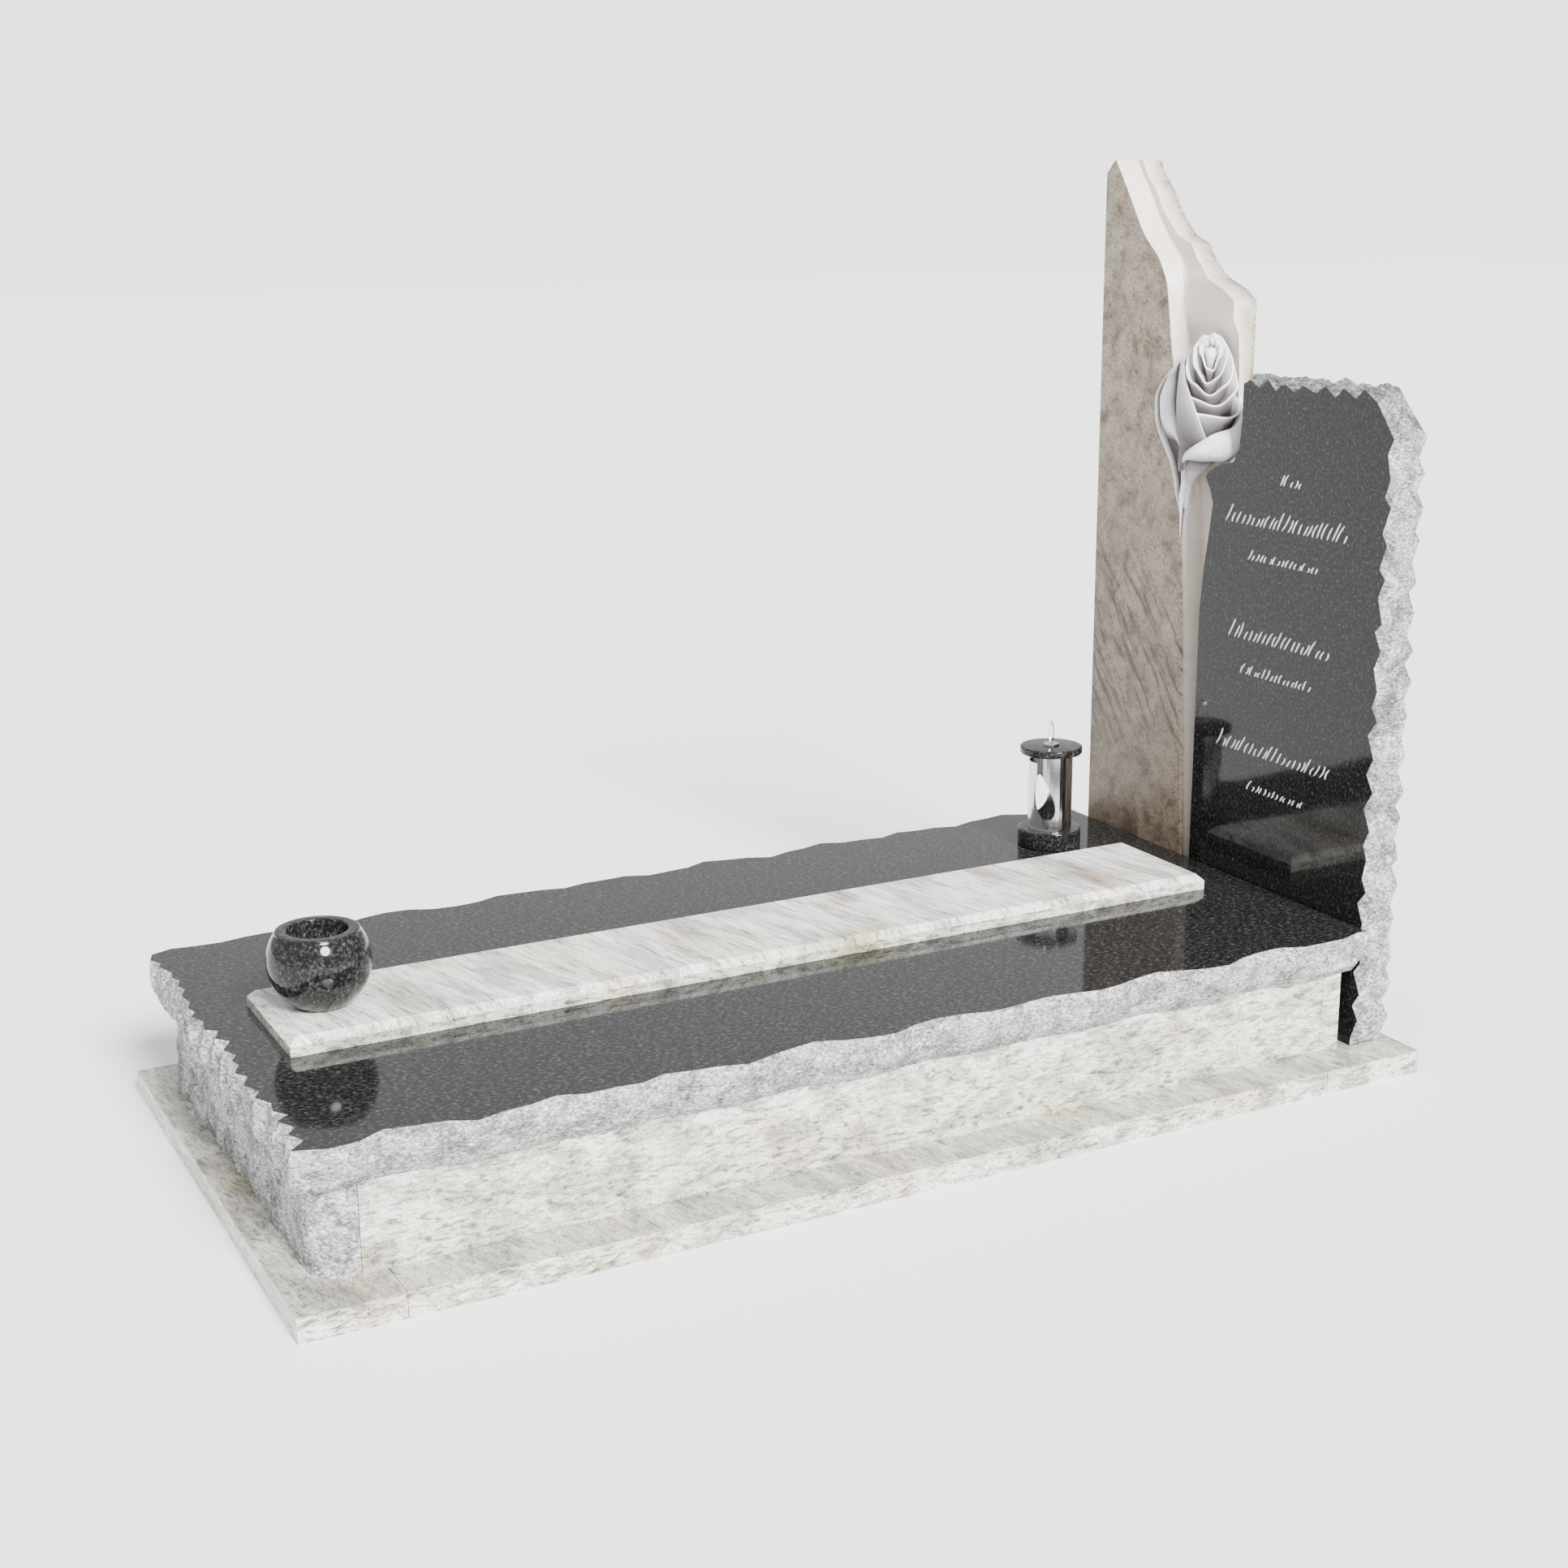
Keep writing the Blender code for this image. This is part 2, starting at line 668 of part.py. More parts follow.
def leaf_ring(leaf, t):
    """Section of a leaf that grows out of the stem, t from stem to tip."""
    reach, top, width, bulge, root = leaf
    height = LEAF_FOOT + (top - LEAF_FOOT) * t
    spine = between(ARRIS, height) - reach * math.sin(math.pi * 0.5 * t) ** 1.6
    half = width * (0.22 + 0.78 * math.sin(math.pi * min(1.0, 0.1 + 0.8 * t)))
    half *= 1 - 0.75 * max(0.0, (t - 0.8) / 0.2) ** 2
    crown = bulge * math.sin(math.pi * (0.15 + 0.7 * t))
    front = [(spine + half * u, -crown * (1 - 0.8 * u * u)) for u in LEAF_ACROSS]
    back = [(spine + half * u, root) for u in (1.0, 0.0, -1.0)]
    foot = standing_place()
    return [foot + Vector((x, y, height)) for x, y in front + back]


# Leaves: reach left of the arris, top, half width, how far they stand proud,
# and how deep they are rooted in the stone
LEAVES = {
    "outer_leaf": (0.030, 1.105, 0.017, 0.014, 0.006),
    "inner_leaf": (0.000, 1.065, 0.016, 0.022, 0.016),
}
LEAF_FOOT = 0.86
LEAF_ACROSS = (-1.0, -0.6, 0.0, 0.6, 1.0)
LEAF_STEPS = 9


def add_stele(group, cutters):
    """Light stele with the rose, its leaves and its stem in one stone."""
    rings = [stele_ring(height) for height in stele_heights()]
    stele = add_object("stele_with_rose", loft(rings), STONE_BEIGE, group)
    frame = rose_frame()
    add_rose(frame, cutters)
    add_tall_petal(frame, cutters)
    for name, leaf in LEAVES.items():
        rings = [leaf_ring(leaf, i / LEAF_STEPS) for i in range(LEAF_STEPS + 1)]
        add_object(name, loft(rings), STONE_BEIGE, cutters)
    for carving in list(cutters.objects):
        join(stele, carving, "UNION")
    fill_voids(stele)


def add_vase(group):
    """Ball vase with a drilled bore, on the foot of the runner."""
    centre = math.sqrt(VASE_RADIUS ** 2 - VASE_FOOT_RADIUS ** 2)
    low = math.asin(-centre / VASE_RADIUS)
    rim = VASE_HEIGHT - VASE_RIM_ROUND
    high = math.asin((rim - centre) / VASE_RADIUS)
    bore = VASE_BORE / 2
    profile = [(0.0, VASE_FLOOR), (bore, VASE_FLOOR), (bore, rim),
               (bore + VASE_RIM_ROUND, VASE_HEIGHT)]
    steps = 9
    for i in range(steps + 1):
        angle = high + (low - high) * i / steps
        radius = VASE_RADIUS * math.cos(angle)
        profile.append((radius, centre + VASE_RADIUS * math.sin(angle)))
    profile[-1] = (VASE_FOOT_RADIUS, 0.0)
    profile.append((0.0, 0.0))
    place = (0.0, RUNNER_FOOT + VASE_FROM_RUNNER_FOOT, RUNNER_TOP + SEAT)
    turned("vase", profile, place, STONE_DARK, group)


def disc_profile(radius, height):
    """Profile of a flat disc whose two edges are eased."""
    ease = LANTERN_DISC_ROUND
    return [(0.0, height), (radius - ease, height), (radius, height - ease),
            (radius, ease), (radius - ease, 0.0), (0.0, 0.0)]


def lantern_place(height):
    x = -(RUNNER_WIDTH / 2 + LANTERN_FROM_RUNNER)
    y = COVER_HEAD - LANTERN_FROM_COVER_HEAD
    return (x, y, COVER_TOP + SEAT + height)


WINDOW_AZIMUTHS = (-52, 172)
WINDOW_WIDTH = 0.036
WINDOW_HEIGHT = 0.092
WINDOW_CENTRE = 0.068
GAP_FROM, GAP_TO = -168, -66
GAP_HEIGHT = 0.015


def window_cutter(azimuth, place, cutters):
    """Leaning oval prism that cuts one window through the tube's wall."""
    turn = Matrix.Rotation(math.radians(azimuth), 4, "Z")
    rings = []
    for reach in (0.4 * LANTERN_TUBE_RADIUS, 1.6 * LANTERN_TUBE_RADIUS):
        ring = []
        for i in range(20):
            angle = math.tau * i / 20
            rise = -math.cos(angle)
            across = 0.5 * WINDOW_WIDTH * math.sin(angle) * (1 - 0.35 * rise)
            lean = -0.25 * WINDOW_WIDTH * rise
            height = WINDOW_CENTRE + 0.5 * WINDOW_HEIGHT * rise
            ring.append(turn @ Vector((reach, across + lean, height)))
        rings.append(ring)
    shape = loft(rings)
    bmesh.ops.translate(shape, vec=Vector(place), verts=shape.verts)
    return add_object("window_%d" % azimuth, shape, STEEL, cutters)


def gap_cutter(place, cutters):
    """Wedge that lowers the tube's wall between its two windows."""
    low = LANTERN_TUBE_HEIGHT - GAP_HEIGHT
    rings = []
    for height in (low, LANTERN_TUBE_HEIGHT + 0.01):
        ring = [Vector((0.0, 0.0, height))]
        for i in range(9):
            angle = math.radians(GAP_FROM + (GAP_TO - GAP_FROM) * i / 8)
            reach = 1.5 * LANTERN_TUBE_RADIUS
            ring.append(Vector((reach * math.cos(angle), reach * math.sin(angle), height)))
        rings.append(ring)
    shape = loft(rings)
    bmesh.ops.translate(shape, vec=Vector(place), verts=shape.verts)
    return add_object("window_gap", shape, STEEL, cutters)


def add_tube(place, group, cutters):
    """Steel tube, open at both ends, with two windows and a gap."""
    inner = LANTERN_TUBE_RADIUS - LANTERN_TUBE_WALL
    mesh = bpy.data.meshes.new("lantern_tube")
    corners = [(inner, 0.0, 0.0), (inner, 0.0, LANTERN_TUBE_HEIGHT),
               (LANTERN_TUBE_RADIUS, 0.0, LANTERN_TUBE_HEIGHT),
               (LANTERN_TUBE_RADIUS, 0.0, 0.0)]
    mesh.from_pydata(corners, [(0, 1), (1, 2), (2, 3), (3, 0)], [])
    mesh.materials.append(finish_material(STEEL))
    tube = bpy.data.objects.new("lantern_tube", mesh)
    tube.location = place
    group.objects.link(tube)
    screw = tube.modifiers.new("turn", "SCREW")
    screw.steps = 40
    screw.render_steps = 40
    screw.use_merge_vertices = True
    screw.merge_threshold = 0.00005
    tools = [window_cutter(azimuth, place, cutters) for azimuth in WINDOW_AZIMUTHS]
    tools.append(gap_cutter(place, cutters))
    for tool in tools:
        join(tube, tool, "DIFFERENCE")


def wire_loop(place, cutters):
    """Upright oval ring of round wire that stands in the knob plate."""
    lift = KNOB_HEIGHT * 0.5 + LOOP_HEIGHT / 2
    turn = Matrix.Rotation(math.radians(LOOP_AZIMUTH), 4, "Z")
    around, sides = 24, 5
    shape = bmesh.new()
    rings = []
    for i in range(around):
        angle = math.tau * i / around
        middle = Vector((LOOP_WIDTH / 2 * math.cos(angle), 0.0,
                         LOOP_HEIGHT / 2 * math.sin(angle) + lift))
        outward = Vector((math.cos(angle) * LOOP_HEIGHT, 0.0,
                          math.sin(angle) * LOOP_WIDTH)).normalized()
        ring = []
        for k in range(sides):
            bend = math.tau * k / sides
            offset = outward * math.cos(bend) + Vector((0.0, math.sin(bend), 0.0))
            point = turn @ (middle + offset * LOOP_WIRE)
            ring.append(shape.verts.new(point + Vector(place)))
        rings.append(ring)
    for i in range(around):
        lower, upper = rings[i - 1], rings[i]
        for k in range(sides):
            shape.faces.new((lower[k - 1], lower[k], upper[k], upper[k - 1]))
    return add_object("wire_loop", shape, STEEL, cutters)


def add_handle(place, group, cutters):
    """Knob plate and its thin upright loop, as one piece of steel."""
    ease = 0.25 * KNOB_HEIGHT
    plate = [(0.0, KNOB_HEIGHT), (KNOB_RADIUS - ease, KNOB_HEIGHT),
             (KNOB_RADIUS, KNOB_HEIGHT - ease), (KNOB_RADIUS, 0.0), (0.0, 0.0)]
    knob = turned("lantern_handle", plate, place, STEEL, group, 24)
    join(knob, wire_loop(place, cutters), "UNION")


def add_lantern(group, cutters):
    """Grave lantern: stone base, steel tube, stone lid with a handle."""
    turned("lantern_base", disc_profile(LANTERN_BASE_RADIUS, LANTERN_BASE_HEIGHT),
           lantern_place(0.0), STONE_DARK, group)
    tube_foot = LANTERN_BASE_HEIGHT + SEAT
    add_tube(lantern_place(tube_foot), group, cutters)
    lid_foot = tube_foot + LANTERN_TUBE_HEIGHT + SEAT
    turned("lantern_lid", disc_profile(LANTERN_LID_RADIUS, LANTERN_LID_HEIGHT),
           lantern_place(lid_foot), STONE_DARK, group)
    handle_foot = lid_foot + LANTERN_LID_HEIGHT + SEAT
    add_handle(lantern_place(handle_foot), group, cutters)


def main():
    clear_scene()
    group = new_collection("grave_monument")
    cutters = new_collection("cutters")
    lantern_cutters = new_collection("lantern_cutters")
    add_surround(group)
    add_kerb(group)
    add_cover(group)
    add_runner(group)
    add_headstone(group)
    add_stele(group, cutters)
    add_vase(group)
    add_lantern(group, lantern_cutters)


main()
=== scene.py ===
"""Looks of a granite grave monument with a carved rose, round its CAD frame.

The script is laid out as an add-on. Each piece or group of pieces has its own
operator, and main() calls them in order. Lengths are in metres, +Z is up, and
+Y runs from the grave's foot to its head.
"""

import math
import random

import bmesh
import bpy
import numpy as np
from mathutils import Matrix, Vector


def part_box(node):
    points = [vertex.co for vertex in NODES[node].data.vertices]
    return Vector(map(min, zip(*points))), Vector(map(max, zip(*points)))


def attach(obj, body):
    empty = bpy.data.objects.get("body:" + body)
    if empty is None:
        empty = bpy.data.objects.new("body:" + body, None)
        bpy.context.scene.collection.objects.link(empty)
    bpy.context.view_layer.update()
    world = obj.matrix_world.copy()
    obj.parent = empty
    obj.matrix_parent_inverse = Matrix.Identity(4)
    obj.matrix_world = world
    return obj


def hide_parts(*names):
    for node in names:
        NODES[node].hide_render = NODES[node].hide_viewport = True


bl_info = {
    "name": "Grave Monument",
    "version": (1, 0, 0),
    "blender": (4, 5, 0),
    "location": "3D View > Sidebar > Monument",
    "description": "Granite monument with a carved rose, dressed round its frame",
    "category": "Object",
}

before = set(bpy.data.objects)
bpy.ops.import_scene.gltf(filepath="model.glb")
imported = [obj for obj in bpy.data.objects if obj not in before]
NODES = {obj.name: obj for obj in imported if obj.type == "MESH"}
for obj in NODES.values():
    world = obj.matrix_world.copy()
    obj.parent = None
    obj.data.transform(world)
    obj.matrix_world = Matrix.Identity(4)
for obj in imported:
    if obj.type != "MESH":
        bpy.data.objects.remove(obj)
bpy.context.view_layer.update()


def linear(code):
    """Linear RGBA of an sRGB hex colour such as #E4E3DC."""
    values = [int(code[i:i + 2], 16) / 255 for i in (1, 3, 5)]
    return tuple(v / 12.92 if v <= 0.04045 else ((v + 0.055) / 1.055) ** 2.4
                 for v in values) + (1.0,)


# Sizes and colours that a user would change

def size_property(name, description, default, least=0.0):
    """Length setting in metres, with the least that it may be."""
    return bpy.props.FloatProperty(
        name=name, description=description, default=default, min=least, unit="LENGTH")


class MonumentSizes(bpy.types.PropertyGroup):
    """Sizes of the monument's finer work"""
    relief: size_property(
        "Pitched relief", "Depth of the broken surface on pitched edges", 0.006)
    undercut: size_property(
        "Petal undercut", "How far a petal leans out over its own pocket", 0.012)
    lip: size_property("Petal lip", "Thickness of a petal at its lip", 0.006, 0.001)
    roll: size_property(
        "Petal roll", "Height of the outermost petal's roll at its thickest", 0.058)
    bore: size_property("Vase bore", "Radius of the vase's drilled bore", 0.047, 0.01)
    stroke: size_property(
        "Stroke width", "Width of a stroke on the headstone", 0.0038, 0.001)


def colour_property(name, description, code):
    """Colour setting whose default is an sRGB hex colour."""
    return bpy.props.FloatVectorProperty(
        name=name, description=description, subtype="COLOR", size=4, min=0.0, max=1.0,
        default=linear(code))


class MonumentColours(bpy.types.PropertyGroup):
    """Main colours of the monument's stones and metal"""
    white_ground: colour_property("White ground", "Ground of the white granite", "#E2E2DA")
    white_dash: colour_property("White dash", "Dashes in the white granite", "#63655D")
    dark_ground: colour_property("Dark ground", "Ground of the dark granite", "#0E0E0E")
    dark_fleck: colour_property("Dark fleck", "Flecks in the dark granite", "#545454")
    pitched_pale: colour_property("Pitched pale", "Crushed crystals on broken faces", "#E4E4E4")
    pitched_dark: colour_property("Pitched dark", "Whole grains on broken faces", "#4C4C4C")
    beige_pale: colour_property("Beige pale", "Palest clouds of the beige granite", "#B0A49B")
    beige_dark: colour_property("Beige dark", "Darkest clouds of the beige granite", "#6D5E50")
    mica: colour_property("Mica", "Mica grains in the beige granite", "#66564B")
    # Carved ridge is painted light on the carving, and carved hollow is painted shade in its
    # hollows
    ridge: colour_property("Carved ridge", "Rubbed ridges of the carving", "#FCFBFB")
    hollow: colour_property("Carved hollow", "Hollows of the carving", "#4E4447")
    steel: colour_property("Steel", "Stainless steel of the lantern", "#DEDEDE")
    paint: colour_property("Paint", "Paint in the strokes on the headstone", "#FAFAFA")
    floor: colour_property("Floor", "Floor of the studio", "#F4F4F4")


def sizes():
    """The scene's sizes."""
    return bpy.context.scene.monument_sizes


def colours():
    """The scene's colours."""
    return bpy.context.scene.monument_colours


# Sizes from the solids' boxes
KERB_LOW, KERB_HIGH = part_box("kerb_foot_block")
COVER_LOW, COVER_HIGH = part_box("cover_slab")
COVER_BOTTOM, COVER_TOP = COVER_LOW[2], COVER_HIGH[2]
COVER_HEAD = COVER_HIGH[1]
STONE_FRONT, STANDING_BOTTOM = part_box("headstone")[0][1:]
STELE_LOW, STELE_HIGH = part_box("stele_with_rose")
STELE_CORNER = (STELE_LOW[0], STONE_FRONT, STANDING_BOTTOM)
STELE_DEPTH = STELE_HIGH[1] - STONE_FRONT
STELE_HEIGHT = STELE_HIGH[2] - STANDING_BOTTOM

# Typed sizes of the stones and their broken edges
KERB_FOOT = -0.96
KERB_CORNER = 0.042
COVER_FOOT = -0.966
COVER_HALF_WIDTH = 0.457
COVER_FACE_LEAN = 0.036
COVER_SPINE = 0.7
HEADSTONE_LEFT = -0.05
HEADSTONE_RIGHT = 0.428
HEADSTONE_HEIGHT = 1.128
HEADSTONE_DEPTH = 0.07
HEADSTONE_CORNER = 0.05
HEADSTONE_MIDDLE = (0.19, 0.0, 0.6)
CHIP_SPACING = 0.052
CHIP_DEPTH = 0.011


# Shapes

def smooth_table(table, at):
    """Smooth values from a table of (place, value) points, with no overshoot.

    Cubic Hermite pieces whose slopes are the harmonic mean of the straight
    slopes on both sides, or zero where those turn.
    """
    place, value = np.array(table, dtype=float).T
    rise = np.diff(value) / np.diff(place)
    product = rise[:-1] * rise[1:]
    total = rise[:-1] + rise[1:]
    safe = np.where(product > 0, total, 1.0)
    inner = np.where(product > 0, 2 * product / safe, 0.0)
    slope = np.concatenate(([rise[0]], inner, [rise[-1]]))
    at = np.clip(np.asarray(at, dtype=float), place[0], place[-1])
    i = np.clip(np.searchsorted(place, at, side="right") - 1, 0, len(place) - 2)
    gap = place[i + 1] - place[i]
    t = (at - place[i]) / gap
    start, end = slope[i] * gap, slope[i + 1] * gap
    change = value[i + 1] - value[i]
    bend = (start + end - 2 * change) * t + 3 * change - 2 * start - end
    return value[i] + t * (start + t * bend)


def spline(p, q, r, s, t):
    """Catmull-Rom cubic between q and r, at the share t from one to the other."""
    bend = (2 * p - 5 * q + 4 * r - s) * t * t + (3 * q - p - 3 * r + s) * t ** 3
    return q + 0.5 * ((r - p) * t + bend)


def round_values(values, angle):
    """Spline values at angles, from values evenly spaced round a turn."""
    values = np.asarray(values, dtype=float)
    count = len(values)
    place = (angle / math.tau + 0.375) * count
    i = np.floor(place).astype(int)
    return spline(*(values[(i + k) % count] for k in (-1, 0, 1, 2)), place - i)


def joined(x, y, z):
    """Points from coordinates, each of which may be shared along an axis."""
    return np.stack(np.broadcast_arrays(x, y, z), axis=-1)


def lattice_noise(points, size, seed):
    """Smooth noise from -1 to 1, with lumps about `size` metres across.

    Random values at the corners of a cubic lattice, blended along each axis
    with 3 s^2 - 2 s^3.
    """
    place = points / size
    cell = np.floor(place).astype(np.int64)
    share = place - cell
    share = share * share * (3 - 2 * share)
    total = np.zeros(points.shape[:-1])
    for corner in range(8):
        offset = np.array([(corner >> k) & 1 for k in range(3)])
        c = cell + offset
        mixed = c[..., 0] * 73856093 ^ c[..., 1] * 19349663 ^ c[..., 2] * 83492791
        mixed = (mixed ^ seed * 265443576) & 0xFFFFFFFF
        mixed = ((mixed ^ (mixed >> 15)) * 2246822519) & 0xFFFFFFFF
        mixed = ((mixed ^ (mixed >> 13)) * 3266489917) & 0xFFFFFFFF
        value = ((mixed ^ (mixed >> 16)) & 0xFFFF) / 32767.5 - 1
        total += np.prod(np.where(offset, share, 1 - share), axis=-1) * value
    return total


def broken_stone(points, seed):
    """Depth of a pitched face: shell-like hollows with ridges between them.

    One minus 2.2 times the size of a noise makes ridges, at a coarse and at a
    middle scale, and a fine noise roughens them.
    """
    coarse = 1 - 2.2 * np.abs(lattice_noise(points, 0.045, seed))
    middle = 1 - 2.2 * np.abs(lattice_noise(points, 0.019, seed + 1))
    fine = lattice_noise(points, 0.006, seed + 2)
    return 0.55 * coarse + 0.3 * middle + 0.15 * fine


def subdivided(rings, rows, columns):
    """Rings with more rows and columns, spaced evenly along straight lines.

    rows is how many steps each gap between rings gets, and columns the same
    for each gap between points; the last point joins the first.
    """
    rings = np.asarray(rings, dtype=float)
    closed = np.concatenate((rings, rings[:, :1]), axis=1)
    t = (np.arange(columns) / columns)[None, None, :, None]
    wide = closed[:, :-1, None] * (1 - t) + closed[:, 1:, None] * t
    wide = wide.reshape(len(rings), -1, 3)
    s = (np.arange(rows) / rows)[None, :, None, None]
    tall = wide[:-1, None] * (1 - s) + wide[1:, None] * s
    return np.concatenate((tall.reshape(-1, wide.shape[1], 3), wide[-1:]))


def curve_through(keys, steps):
    """Spline curve through keys along the first axis, ends kept."""
    keys = np.asarray(keys, dtype=float)
    padded = np.concatenate((2 * keys[:1] - keys[1:2], keys, 2 * keys[-1:] - keys[-2:-1]))
    t = (np.arange(steps) / steps).reshape((1, steps) + (1,) * (keys.ndim - 1))
    spans = (padded[:-3], padded[1:-2], padded[2:-1], padded[3:])
    curve = spline(*(span[:, None] for span in spans), t)
    return np.concatenate((curve.reshape((-1,) + keys.shape[1:]), keys[-1:]))


def grid_faces(rows, columns, closed=True):
    """Quads between the rows of a grid; closed joins its last column to its first."""
    steps = columns if closed else columns - 1
    i, j = np.meshgrid(np.arange(rows - 1), np.arange(steps), indexing="ij")
    a = i * columns + j
    b = i * columns + (j + 1) % columns
    return np.stack((a, b, b + columns, a + columns), axis=-1).reshape(-1, 4)


def add_piece(name, points, faces, materials, indices=None, sharp=35.0, hollow=None):
    """Piece from points and faces, outward normals, edges sharp past an angle.

    hollow says how far each point lies in a hollow, from 0 to 1: the carving's material paints
    shade by it, and the stele's paints light on its cove.
    """
    mesh = bpy.data.meshes.new(name)
    mesh.from_pydata(np.asarray(points).reshape(-1, 3).tolist(), [], faces)
    for material in materials:
        mesh.materials.append(material)
    if indices is not None:
        mesh.polygons.foreach_set("material_index", np.asarray(indices, dtype=np.int32))
    shape = bmesh.new()
    shape.from_mesh(mesh)
    bmesh.ops.recalc_face_normals(shape, faces=shape.faces)
    shape.to_mesh(mesh)
    shape.free()
    mesh.polygons.foreach_set("use_smooth", np.ones(len(mesh.polygons), dtype=bool))
    mesh.set_sharp_from_angle(angle=math.radians(sharp))
    if hollow is not None:
        layer = mesh.attributes.new("hollow", "FLOAT", "POINT")
        layer.data.foreach_set("value", np.asarray(hollow, dtype=np.float32).reshape(-1))
    mesh.update()
    item = bpy.data.objects.new(name, mesh)
    bpy.context.scene.collection.objects.link(item)
    return item


def loft_piece(name, rings, materials, sharp=35.0, columns=None, hollow=None):
    """Closed piece through rings of points, with a flat face at each end.

    The sides take the first material and the ends the last. columns may give
    the material's number for each strip that runs between the ends.
    """
    rows, count = rings.shape[:2]
    quads = grid_faces(rows, count)
    strips = np.zeros(count) if columns is None else columns
    faces = quads.tolist()
    faces += [list(range(count)), list(range((rows - 1) * count, rows * count))]
    indices = np.concatenate((np.tile(strips, rows - 1), [len(materials) - 1] * 2))
    return add_piece(name, rings, faces, materials, indices, sharp, hollow)


def dress(item, nodes):
    """Let a finished piece ride on the monument and stand for its CAD nodes."""
    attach(item, "root")
    if nodes:
        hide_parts(*nodes)


def chips_in(length, spacing=CHIP_SPACING):
    """How many points an edge of this length has, two for each chip."""
    return 2 * max(2, round(length / spacing))


def chipped_line(start, end, outward, count, depth, seed):
    """Points along an edge, alternately chipped in and standing out."""
    pick = random.Random(seed)
    draws = [(pick.uniform(-0.28, 0.28), pick.uniform(0.35, 1.0)) for _ in range(count)]
    shift, size = np.array(draws).T
    share = (np.arange(count) + 0.5 + shift) / count
    side = np.where(np.arange(count) % 2, 1.0, -1.0)
    line = np.outer(1 - share, start) + np.outer(share, end)
    return line + np.outer(side * depth * size, outward)


def wavy_line(start, end, outward, count, depth, phase):
    """Points along an edge that swings in and out as a sum of three sines."""
    share = (np.arange(count) + 0.5) / count
    line = np.outer(1 - share, start) + np.outer(share, end)
    along = np.linalg.norm(line - np.array(start), axis=1) + phase
    swing = 0.6 * np.sin(math.tau * along / 0.215)
    swing += 0.3 * np.sin(math.tau * along / 0.31 + 1.3)
    swing += 0.25 * np.sin(math.tau * along / 0.083 + 0.4)
    return line + np.outer(depth * swing, outward)


# Materials

def used_output(node):
    """The first output of a node that is in use."""
    return next(socket for socket in node.outputs if socket.enabled)


def add_node(tree, kind, settings=None, links=None, stops=()):
    """Add a shader node, and give it settings, links and colour stops.

    A setting is an attribute, or the value of an input by name or number. A
    link joins an input to a socket, or to a node's first output in use. A
    stop is a place and a colour on a colour ramp.
    """
    node = tree.nodes.new("ShaderNode" + kind)
    settings = dict(settings or {})
    for key in [key for key in settings if hasattr(node, str(key))]:
        setattr(node, key, settings.pop(key))
    inputs = {socket.name: socket for socket in node.inputs if socket.enabled}
    inputs.update(enumerate(node.inputs))
    for key, value in settings.items():
        inputs[key].default_value = value
    for key, source in (links or {}).items():
        if isinstance(source, bpy.types.Node):
            source = used_output(source)
        tree.links.new(source, inputs[key])
    if stops:
        node.color_ramp.interpolation = "EASE"
        while len(node.color_ramp.elements) < len(stops):
            node.color_ramp.elements.new(0.5)
        for element, (place, colour) in zip(node.color_ramp.elements, stops):
            element.position = place
            element.color = linear(colour) if isinstance(colour, str) else colour
    return node


NOISE = ("Scale", "Detail", "Roughness", "Distortion")
MIX, MULTIPLY, ADD = ({"data_type": "RGBA", "blend_type": kind}
                      for kind in ("MIX", "MULTIPLY", "ADD"))
WHITE = "#FFFFFF"


def new_material(name, roughness, metallic=0.0, ior=1.5):
    """New material, its node tree and its Object coordinates."""
    made = bpy.data.materials.new(name)
    made.use_nodes = True
    tree = made.node_tree
    shader = tree.nodes["Principled BSDF"]
    shader.inputs["Roughness"].default_value = roughness
    shader.inputs["Metallic"].default_value = metallic
    shader.inputs["IOR"].default_value = ior
    place = add_node(tree, "TexCoord").outputs["Object"]
    return made, tree, place


def layered(tree, layers, colour=None):
    """Colour with layers of noise on it, or on the first layer as the ground.

    A layer has a vector, the noise's values in the order of NOISE, its colour
    stops, and the blend and share with which it goes on what lies below.
    """
    for vector, noise, stops, *laid in layers:
        cloud = add_node(tree, "TexNoise", dict(zip(NOISE, noise)), {"Vector": vector})
        tint = add_node(tree, "ValToRGB", None, {"Fac": cloud}, stops)
        if laid:
            blend, share = laid
            tint = add_node(tree, "Mix", {**blend, "Factor": share},
                            {"A": colour, "B": tint})
        colour = tint
    return colour


def coloured(made, colour):
    """Material whose shader takes its colour from a node."""
    tree = made.node_tree
    tree.links.new(used_output(colour), tree.nodes["Principled BSDF"].inputs["Base Color"])
    return made


def facing_up(tree):
    """One on faces that look up or down, and zero on upright ones."""
    facing = add_node(tree, "TexCoord").outputs["Normal"]
    parts = add_node(tree, "SeparateXYZ", None, {"Vector": facing})
    size = add_node(tree, "Math", {"operation": "ABSOLUTE"}, {0: parts.outputs["Z"]})
    return add_node(tree, "Math", {"operation": "GREATER_THAN", 1: 0.6}, {0: size})


